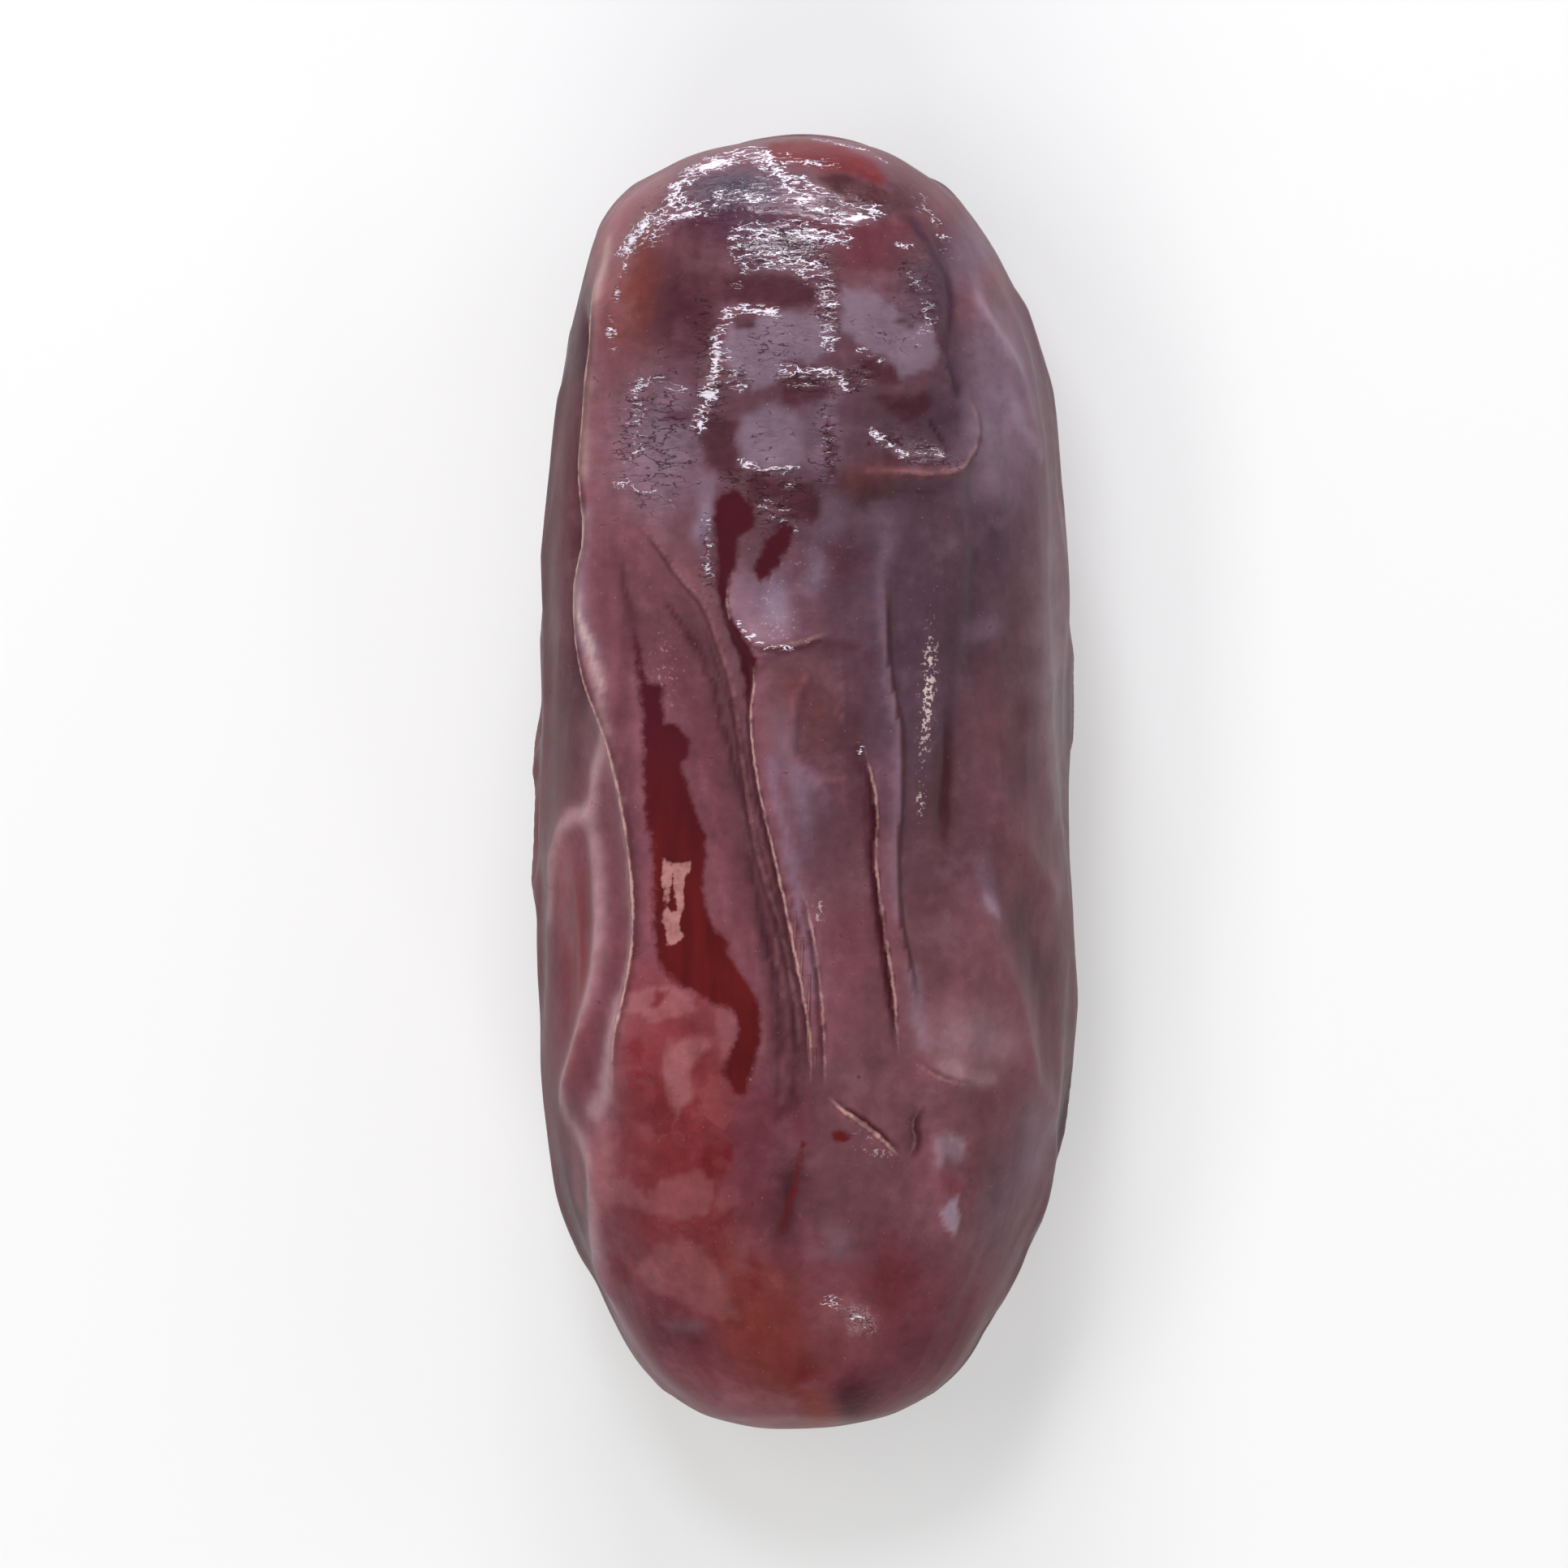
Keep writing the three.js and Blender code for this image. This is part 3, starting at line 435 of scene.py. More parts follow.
def endLift(points):
    scar, dimple = ends["scar"], ends["dimple"]
    x, y, z = points[:, 0], points[:, 1], points[:, 2] - body["axisHeight"]
    ring = np.hypot(x - scar["x"], z - scar["z"])
    pit = np.hypot(x - dimple["x"], z - dimple["z"])
    stem = -scar["depth"] * (1 - smoothStep(scar["floor"] * scar["radius"], scar["radius"], ring))
    stem += scar["rim"] * np.exp(-(((ring - scar["radius"] - scar["rimOut"]) / scar["rimWidth"]) ** 2))
    tip = -dimple["depth"] * (1 - smoothStep(0, dimple["radius"], pit))
    return np.where(y > 0, stem, tip)


def swellLift(turn, y):
    lift = np.zeros(len(turn))
    for (middle, centre), (across, along), height in swells:
        apart = np.arctan2(np.sin(turn - middle * degree), np.cos(turn - middle * degree))
        lift += height * np.exp(-((meanRadius * apart / across) ** 2) - ((y - centre) / along) ** 2)
    return lift


def raiseFolds(lift, points):
    # adds the folds to lift. For each layer of marked crests it returns how far right of the nearest one
    # each place is, how pale its painted highlight and how dark its painted shade are there, and half the
    # crest's width
    crests = np.zeros((2, len(points), 4))
    crests[:, :, 0] = foldShape["farOff"]
    for fold in layAllFolds():
        reach = foldShape["reach"] * max(fold["left"], fold["right"])
        chosen, best, aside, gone = nearFold(fold, points, reach)
        fade = endFade(fold, gone)
        flank = np.where(aside > 0, fold["right"], fold["left"])
        blunt = foldShape["blunt"]
        lift[chosen] += fold["height"] * fade * np.exp(blunt - np.hypot(best / flank, blunt))
        if fold["mark"]:
            layer, pale, width, footLeft, footRight = fold["mark"]
            window = fade * (1 - smoothStep(*foldShape["markFade"], best))
            footShade = np.where(aside > 0, footRight, footLeft)
            signed = np.where(aside > 0, best, -best)
            mark = np.stack([signed, pale * window, footShade * window, np.full(len(best), width)], axis=1)
            closer = best < np.abs(crests[layer, chosen, 0])
            crests[layer, chosen[closer]] = mark[closer]
    return crests


# Where the skin is thin and wet, as outlines seen from above. Inside them it is dark, deep red and shiny.
wetOutlines = {
    "channel": [
        (-6.04, 5.2), (-5.92, 3.9), (-5.78, 2.75), (-5.69, 1.3), (-5.55, -1), (-5.32, -2.75),
        (-5.2, -5.65), (-5.03, -6.5), (-4.54, -7.1), (-3.82, -7.5), (-3.1, -7.95), (-2.65, -7.95),
        (-2.37, -8.5), (-2.5, -9.1), (-2.8, -9.7), (-2.95, -10.25), (-2.5, -11), (-2.1, -11.1),
        (-1.95, -10.5), (-1.73, -9.7), (-1.56, -9.1), (-1.5, -7.95), (-1.56, -7.8), (-1.95, -7.2),
        (-2.14, -6.8), (-2.66, -6.05), (-2.75, -5.5), (-3.24, -5.05), (-3.53, -4.2), (-3.58, -3.3),
        (-3.47, -1.9), (-3.76, -1.3), (-4.05, -0.4), (-4.4, 0.6), (-4.16, 0.9), (-4.1, 1.45), (-4.45, 2),
        (-4.97, 2.2), (-5.1, 3), (-4.97, 3.5), (-5.55, 3.6), (-5.64, 4.2), (-5.84, 5)],
    "upper": [
        (-3.29, 9.4), (-3.09, 10.1), (-2.5, 10.5), (-1.9, 10), (-1.75, 9.3), (-1.8, 8.9), (-2.3, 8.7),
        (-2.35, 8.3), (-2.45, 7.6), (-2.65, 7.2), (-2.65, 6.3), (-2.55, 5.9), (-2.05, 5.15), (-1.6, 4.4),
        (-1.72, 3.9), (-1.82, 3), (-1.95, 2.2), (-2.15, 3.2), (-2.35, 4.3), (-2.65, 5.2), (-3.12, 6.4),
        (-3.3, 7), (-3.18, 7.65), (-3.24, 8.5)],
    "small": [
        (-0.35, 9), (-0.75, 9.3), (-1.2, 8.9), (-1.56, 8.4), (-1.65, 8), (-1.95, 7.5), (-1.65, 7.1),
        (-1.3, 7.2), (-0.82, 7.9), (-0.4, 8.6)],
    # the pool holds a pale painted reflection of the window, under a thin real coat that mirrors it too
    "pool": [
        (-5, -2.66), (-4.72, -2.83), (-4.09, -2.76), (-4.03, -3.11), (-4.29, -3.18), (-4.36, -4.18),
        (-4.28, -4.26), (-4.45, -4.86), (-4.44, -5.16), (-4.25, -5.46), (-4.56, -5.61), (-4.77, -5.8),
        (-4.85, -5.68), (-4.83, -5.18), (-5, -4.86), (-4.89, -4.51), (-4.97, -4.01), (-5, -3.41)],
    "poolGap": [
        (-4.82, -3.05), (-4.66, -3.2), (-4.64, -3.8), (-4.52, -4.1), (-4.52, -4.58), (-4.7, -4.6),
        (-4.84, -4.35), (-4.76, -3.8)],
    "lowSpot": [(0.87, -12.35), (1.24, -12.2), (1.68, -12.45), (1.45, -12.7), (1.04, -12.65)],
    "tipLine": [
        (0.1, -12.6), (-0.2, -13.9), (-0.5, -15.2), (-0.8, -16), (-1, -16), (-0.7, -14.9), (-0.4, -13.7),
        (-0.17, -12.6)],
}


def lineDistance(line, x, y):
    best = np.full(len(x), np.inf)
    for (ax, ay), (bx, by) in zip(line[:-1], line[1:]):
        runX, runY = bx - ax, by - ay
        share = np.clip(((x - ax) * runX + (y - ay) * runY) / (runX**2 + runY**2), 0, 1)
        best = np.minimum(best, np.hypot(x - ax - share * runX, y - ay - share * runY))
    return best


def outlineDepth(outline, x, y):
    # how far inside an outline each place is, below 0 outside it
    closed = [*outline, outline[0]]
    crossings = np.zeros(len(x), int)
    for (ax, ay), (bx, by) in zip(closed[:-1], closed[1:]):
        if ay != by:
            crossings += ((ay > y) != (by > y)) & (x < ax + (y - ay) * (bx - ax) / (by - ay))
    return np.where(crossings % 2 == 1, 1, -1) * lineDistance(closed, x, y)


def wetTraits(x, y, cosine):
    # how far inside the wet skin each place is, and how far inside the pool where the window's reflection
    # is painted pale on the skin and a coat mirrors it as well
    depths = {name: outlineDepth(outline, x, y) for name, outline in wetOutlines.items()}
    deepest = 1.5
    wet = np.clip(np.max(list(depths.values()), axis=0), -deepest, deepest)
    return {
        "wetDepth": np.where(cosine > 0.1, wet, -deepest),
        "pool": np.minimum(np.clip(depths["pool"], -1, 1), -depths["poolGap"]),
    }


# The skin's colours, as they look on a screen, and where each is laid: the middle seen from above, the
# reach across and along, a turn in degrees, and how much of it. Later ones lie over earlier ones.
skinColours = {
    "wine": (109, 72, 79),
    "plum": (80, 63, 72),
    "maroon": (76, 48, 55),
    "darkRed": (106, 46, 50),
    "brightRed": (122, 50, 54),
    "rose": (146, 96, 100),
    "lilac": (132, 116, 134),
    "grey": (116, 95, 107),
    "amber": (120, 58, 50),
    "brown": (97, 60, 58),
    "cream": (184, 160, 152),
    "pearl": (180, 148, 152),
    "mist": (150, 132, 146),
    "slate": (121, 103, 116),
    "tan": (170, 120, 100),
    "ink": (48, 26, 32),
    "belly": (112, 58, 62),
    "night": (66, 54, 74),
    "frost": (176, 162, 170),
    "dusk": (98, 55, 63),
    "shadow": (60, 34, 42),
    "oxblood": (68, 30, 38),
    "crimson": (104, 38, 42),
    "grape": (72, 46, 60),
}
# The grey, lilac, mist and frost patches stand for the waxy bloom and partly for the sheen of light on it, a
# painted sheen.
skinPatches = [
    # the broad tones
    ("plum", (3.8, 5), (4.5, 9), 0, 0.9),
    ("plum", (0, 13), (5.5, 6.5), 0, 0.6),
    ("brightRed", (-4.4, -12.5), (2.6, 7), 0, 0.8),
    ("brightRed", (0, -19.5), (6.5, 4), 0, 0.4),
    ("wine", (2.2, -15.2), (2.2, 2.6), 0, 0.7),
    # the upper end
    ("rose", (-6.6, 19.8), (2.2, 2.4), 40, 0.75),
    ("rose", (7.2, 18.5), (0.8, 1.8), -32, 0.4),
    ("grey", (5.7, 18.8), (0.9, 1.6), -30, 0.8),
    ("grape", (-2.4, 20), (2.8, 0.9), 0, 0.9),
    ("night", (-2.4, 21.1), (1.9, 0.75), 5, 0.95),
    ("maroon", (3, 20.6), (1.8, 1.2), -10, 0.8),
    ("brown", (-5.8, 17), (0.8, 3.4), 0, 1),
    ("amber", (-5.5, 18), (0.5, 1.8), 0, 0.4),
    ("maroon", (-4.3, 16.6), (1.3, 3.2), 0, 1),
    ("plum", (-0.9, 18.9), (1.8, 1.1), 0, 0.8),
    ("dusk", (2.4, 18.8), (1.4, 0.8), 0, 0.8),
    ("plum", (4.1, 17.2), (1, 1.7), 0, 0.7),
    ("grape", (4.7, 17.4), (0.5, 1.8), -8, 0.7),
    ("brown", (2.2, 10.8), (1, 0.8), 20, 0.7),
    ("grey", (6.9, 12.8), (1.5, 4.4), 0, 1),
    ("mist", (6.8, 12), (0.9, 3), 0, 0.2),
    ("plum", (6.9, 8.8), (0.7, 1.6), 0, 0.9),
    # painted rim highlights along the right flank
    ("frost", (9.2, 5), (0.9, 6.5), 0, 0.4),
    ("mist", (8.6, -13.2), (0.8, 2.4), 12, 0.35),
    ("plum", (5, 12.9), (0.9, 1), 0, 0.9),
    ("grey", (-5, 11.9), (1.5, 2.6), 0, 0.9),
    ("grey", (0.6, 12.4), (0.6, 1.6), 0, 0.7),
    # the left flank
    ("maroon", (-8.3, 15.4), (0.9, 2.4), 0, 0.7),
    ("dusk", (-8.6, 10), (0.9, 4), 0, 0.8),
    ("maroon", (-8.4, 2.6), (0.7, 2.8), 0, 0.5),
    ("brightRed", (-8.2, -6), (0.7, 4.2), 0, 0.8),
    ("plum", (-8, -15), (0.6, 2.6), 10, 0.7),
    # the middle
    ("maroon", (-5.9, 7), (0.7, 2.6), 0, 0.5),
    ("dusk", (-3.3, 0), (0.7, 5.5), 15, 0.45),
    # the dish's two lilac patches are a painted sheen of the overhead light on its bloom
    ("lilac", (-1.1, 6.3), (0.6, 1.1), 0, 0.7),
    ("lilac", (0.3, 7.6), (0.4, 0.8), 0, 0.5),
    ("grey", (-2, 6.6), (0.7, 1.4), 0, 0.6),
    ("lilac", (-3.6, 9.4), (0.25, 1.3), 0, 0.7),
    ("grey", (0.9, 9.2), (0.6, 0.8), 0, 0.6),
    ("brown", (-0.6, 3.3), (0.5, 0.8), 0, 0.6),
    ("maroon", (1.7, 1.2), (0.6, 3), 0, 0.5),
    ("dusk", (1.4, -5.8), (0.9, 1.8), 0, 0.6),
    ("maroon", (7.3, 1.5), (0.6, 2.4), 0, 0.5),
    ("rose", (7.6, -3.2), (0.5, 1), 0, 0.3),
    ("maroon", (1.2, 7.8), (0.9, 1), 0, 0.5),
    ("grey", (2.9, 8.8), (0.7, 1.2), 0, 0.4),
    ("brown", (0.35, 2.3), (0.75, 1.6), 0, 0.6),
    ("lilac", (0, -0.1), (0.6, 0.5), 0, 0.4),
    ("plum", (0.2, -1.6), (0.9, 2.8), 6, 0.5),
    ("grey", (-0.3, -0.8), (0.4, 1.5), 12, 0.6),
    ("grey", (-0.9, 1.6), (0.45, 1.3), 8, 0.5),
    ("wine", (1.7, -7.6), (1.2, 3), 0, 0.5),
    ("brown", (4.9, -0.6), (0.4, 1.8), 0, 0.4),
    ("rose", (5.8, -8.8), (1.8, 1.3), 0, 0.6),
    ("mist", (5.9, -9), (1.6, 1.1), 0, 0.35),
    ("grey", (6.3, 5.4), (0.7, 0.5), 0, 0.7),
    ("grey", (6.3, -3.2), (0.5, 0.9), 10, 0.5),
    ("mist", (6.5, -4.3), (0.25, 0.5), 10, 0.6),
    ("wine", (6.6, 2), (1.2, 2.6), 0, 0.5),
    ("maroon", (7.9, -5.8), (0.8, 2.8), 10, 0.6),
    # the lower end
    ("dusk", (-1.2, -12.6), (1.4, 2.8), 0, 0.9),
    ("maroon", (-0.6, -14.6), (0.3, 1.4), -15, 0.7),
    ("rose", (5.4, -12), (0.6, 0.8), 0, 0.4),
    ("brightRed", (5.1, -14.1), (0.35, 0.5), 0, 0.6),
    ("darkRed", (3, -17.6), (0.9, 1.6), 0, 0.6),
    ("grey", (1.1, -16.2), (0.5, 0.7), 0, 0.5),
    # a painted highlight: the reflection of a lamp near the tip
    ("rose", (1.6, -18.8), (0.8, 0.5), -15, 0.7),
    ("grey", (7, -14.6), (0.9, 2.6), -15, 0.5),
    ("amber", (-1.4, -19.2), (1.5, 3), 25, 0.8),
    ("darkRed", (0, -20.9), (0.6, 0.7), 0, 0.9),
    ("oxblood", (1.8, -21.8), (0.9, 1), 0, 0.9),
    ("amber", (0.3, -22.3), (0.5, 0.5), 0, 0.9),
    ("maroon", (-4.6, -19.4), (1.3, 0.9), -30, 0.6),
    ("grey", (-4.1, -19.1), (0.5, 0.3), 0, 0.4),
    ("dusk", (4.2, -20.6), (1.8, 1.4), 35, 0.8),
]

# Soft lines along folds, as a colour, how much of it, half its width in millimetres, and a line seen from
# above. Most pale lines, on ridge crests and rims, are painted highlights, and most dark lines, in grooves
# and beside crests, are painted shade.
paintedLines = [
    ("cream", 0.42, 0.32, [(-7, 19.2), (-7, 17.5), (-6.95, 16), (-7.15, 14.2), (-7.3, 12.5), (-7.3, 11)]),
    ("mist", 0.6, 0.32, [(-7.2, 9.4), (-7.3, 8.2), (-7.45, 7), (-7.35, 5.6), (-7.05, 4.7)]),
    ("cream", 0.7, 0.12, [
        (-7.15, 9.4), (-7.25, 8.2), (-7.45, 7.2), (-7.4, 6), (-7.1, 4.9), (-6.75, 3.4)]),
    ("pearl", 0.5, 0.22, [(-6.9, 4.2), (-6.7, 2.6), (-6.6, 1.4), (-6.45, 0.2)]),
    ("pearl", 0.5, 0.2, [
        (-6.35, 0.4), (-6.2, -1.2), (-6, -3.2), (-5.9, -5), (-6.05, -6.6), (-6.35, -8.2), (-6.6, -9.4)]),
    ("pearl", 0.55, 0.42, [(-6.4, -8), (-6.7, -9.2), (-6.9, -10.2), (-7.1, -11), (-7.4, -11.6)]),
    ("pearl", 0.42, 0.34, [
        (-6.7, 1.9), (-7.1, 0.9), (-7.35, -0.1), (-7.6, -1), (-8.2, -1.2), (-8.7, -2.2), (-9, -3.6),
        (-9.1, -4.6)]),
    ("pearl", 0.42, 0.34, [
        (-7.6, -1.1), (-7.35, -2.2), (-7.2, -3.4), (-7.15, -5.3), (-7.4, -7), (-7.7, -8.2), (-8.1, -9.2),
        (-8.4, -10.3), (-8.5, -11.2), (-8.4, -11.9), (-8, -12.4), (-7.6, -13), (-7.45, -14),
        (-7.35, -15.2), (-7.3, -16.6)]),
    ("mist", 0.35, 0.6, [
        (-7.3, -16.4), (-7.1, -17.8), (-6.7, -18.8), (-6.1, -19.8), (-5.4, -20.8), (-4.6, -21.6)]),
    ("mist", 0.4, 0.3, [(6.1, 17.9), (6.3, 16.8), (6.7, 16.1), (7.2, 15.3), (7.6, 14.8)]),
    ("mist", 0.45, 0.32, [(7.4, 13.3), (7.8, 12.4), (8.3, 11.6)]),
    ("rose", 0.5, 0.5, [(-8.5, -2.4), (-8.7, -4.2), (-8.6, -5.6)]),
    ("tan", 0.5, 0.4, [(-8.15, 7.6), (-8.1, 6.8)]),
    ("rose", 0.7, 0.45, [(-7.1, -12.2), (-7, -13.2), (-6.95, -14.6)]),
    ("rose", 0.5, 0.5, [(-8.3, -12.4), (-8.1, -13.6), (-8, -14.8)]),
    ("maroon", 0.6, 0.15, [(-1.6, 3.9), (-1.3, 4.3), (-0.9, 4.6), (0.3, 4.85), (1.7, 4.8), (2.3, 4.1)]),
    ("rose", 0.3, 0.1, [(-0.07, 3.8), (-0.5, 2.7), (-0.64, 1.6), (-0.3, 0.7), (0.5, 0.1), (1.3, 0.3)]),
    ("rose", 0.4, 0.1, [(1.18, 3.4), (1.3, 2.3)]),
    ("maroon", 0.5, 0.12, [(0.1, 3.6), (-0.2, 2.6), (-0.3, 1.5), (0.1, 0.7), (0.8, 0.5), (1.1, 1.2)]),
    ("maroon", 0.55, 0.3, [
        (-6, 9), (-6.1, 7), (-6.2, 4.6), (-6.2, 2.6), (-6.1, 1.2), (-5.95, -0.6), (-5.8, -2.4),
        (-5.65, -4.6), (-5.6, -6)]),
    ("maroon", 0.35, 0.3, [(-6.8, 7.6), (-6.7, 5.5), (-6.75, 3.6), (-6.5, 2.4)]),
    ("grey", 0.45, 0.2, [
        (2.9, 8.6), (2.7, 7.4), (2.7, 5), (2.9, 3.2), (3.15, 1.6), (3.1, -0.8), (3, -2.6), (3.2, -4.6)]),
    ("lilac", 0.3, 0.2, [(-1.2, 0.8), (-0.8, -1.4), (-0.4, -3.4), (0, -5.4), (0.4, -7.4)]),
    ("pearl", 0.4, 0.14, [(5.1, -12.5), (5.5, -12.9)]),
    ("mist", 0.35, 0.28, [(3.7, -6.6), (3.9, -8), (4.1, -9.2)]),
    ("pearl", 0.35, 0.3, [(4.8, -9.9), (5.8, -10.4), (6.6, -10.5)]),
    ("rose", 0.2, 0.14, [(-3.8, 0.6), (-3.2, -1.4), (-2.9, -3.6), (-2.6, -5.2), (-2.2, -6.6)]),
    ("shadow", 0.6, 0.13, [
        (-6.1, 7.8), (-4.8, 6.2), (-3.7, 4.3), (-2.9, 1.8), (-2.1, -0.9), (-1.3, -3.3), (-0.5, -6.8)]),
    ("shadow", 0.6, 0.12, [(-4.6, 7), (-3.6, 5.3), (-2.5, 2.4), (-1.8, -0.6), (-1, -2.8), (-0.1, -5.7)]),
    ("maroon", 0.7, 0.14, [(-2, -2.6), (-1.5, -5), (-0.9, -7.4), (-0.6, -9.4)]),
    ("rose", 0.25, 0.12, [(-1.9, -5), (-1.6, -7), (-1.5, -9), (-1.7, -10.6)]),
    ("maroon", 0.7, 0.12, [(-1.4, -5.2), (-1.1, -7.4), (-1, -9.2), (-1.1, -11)]),
    ("rose", 0.4, 0.1, [(-1, -5.6), (-0.75, -7.6), (-0.7, -9.4), (-0.8, -11.4)]),
    ("maroon", 0.6, 0.12, [(-0.35, -8), (-0.33, -9.6), (-0.4, -11.4)]),
    ("maroon", 0.6, 0.12, [(5, 0.8), (5.1, -0.6), (4.95, -1.8), (4.9, -2.9)]),
    ("mist", 0.5, 0.12, [(4.9, 15.2), (5.1, 14.6), (5.25, 14.3)]),
    ("maroon", 0.8, 0.14, [(1.75, 1.2), (1.95, 0), (2.15, -1.4), (2.2, -2.6), (2.5, -5.2), (2.9, -8)]),
    ("maroon", 0.7, 0.14, [(-6.25, 7.6), (-6.1, 6.2), (-5.95, 4.8)]),
    ("rose", 0.5, 0.14, [(2.2, 11.1), (3.6, 11), (5, 11), (5.6, 11.1)]),
    ("grape", 0.9, 0.26, [
        (3.7, 19.9), (4.7, 18.7), (5.1, 18), (5.25, 17.1), (5.1, 16), (4.95, 15.3), (5.2, 14.6),
        (5.5, 14)]),
]

# Short dark lines that lie over the patches below.
inkLines = [
    ("ink", 0.8, 0.1, [(4.7, 12.85), (4.75, 12.5), (5, 12.2), (5.1, 11.9)]),
    ("ink", 0.5, 0.1, [(3.3, 16.35), (3.8, 16.25)]),
    ("ink", 0.5, 0.1, [(-4.7, -20.95), (-4.4, -20.85)]),
]

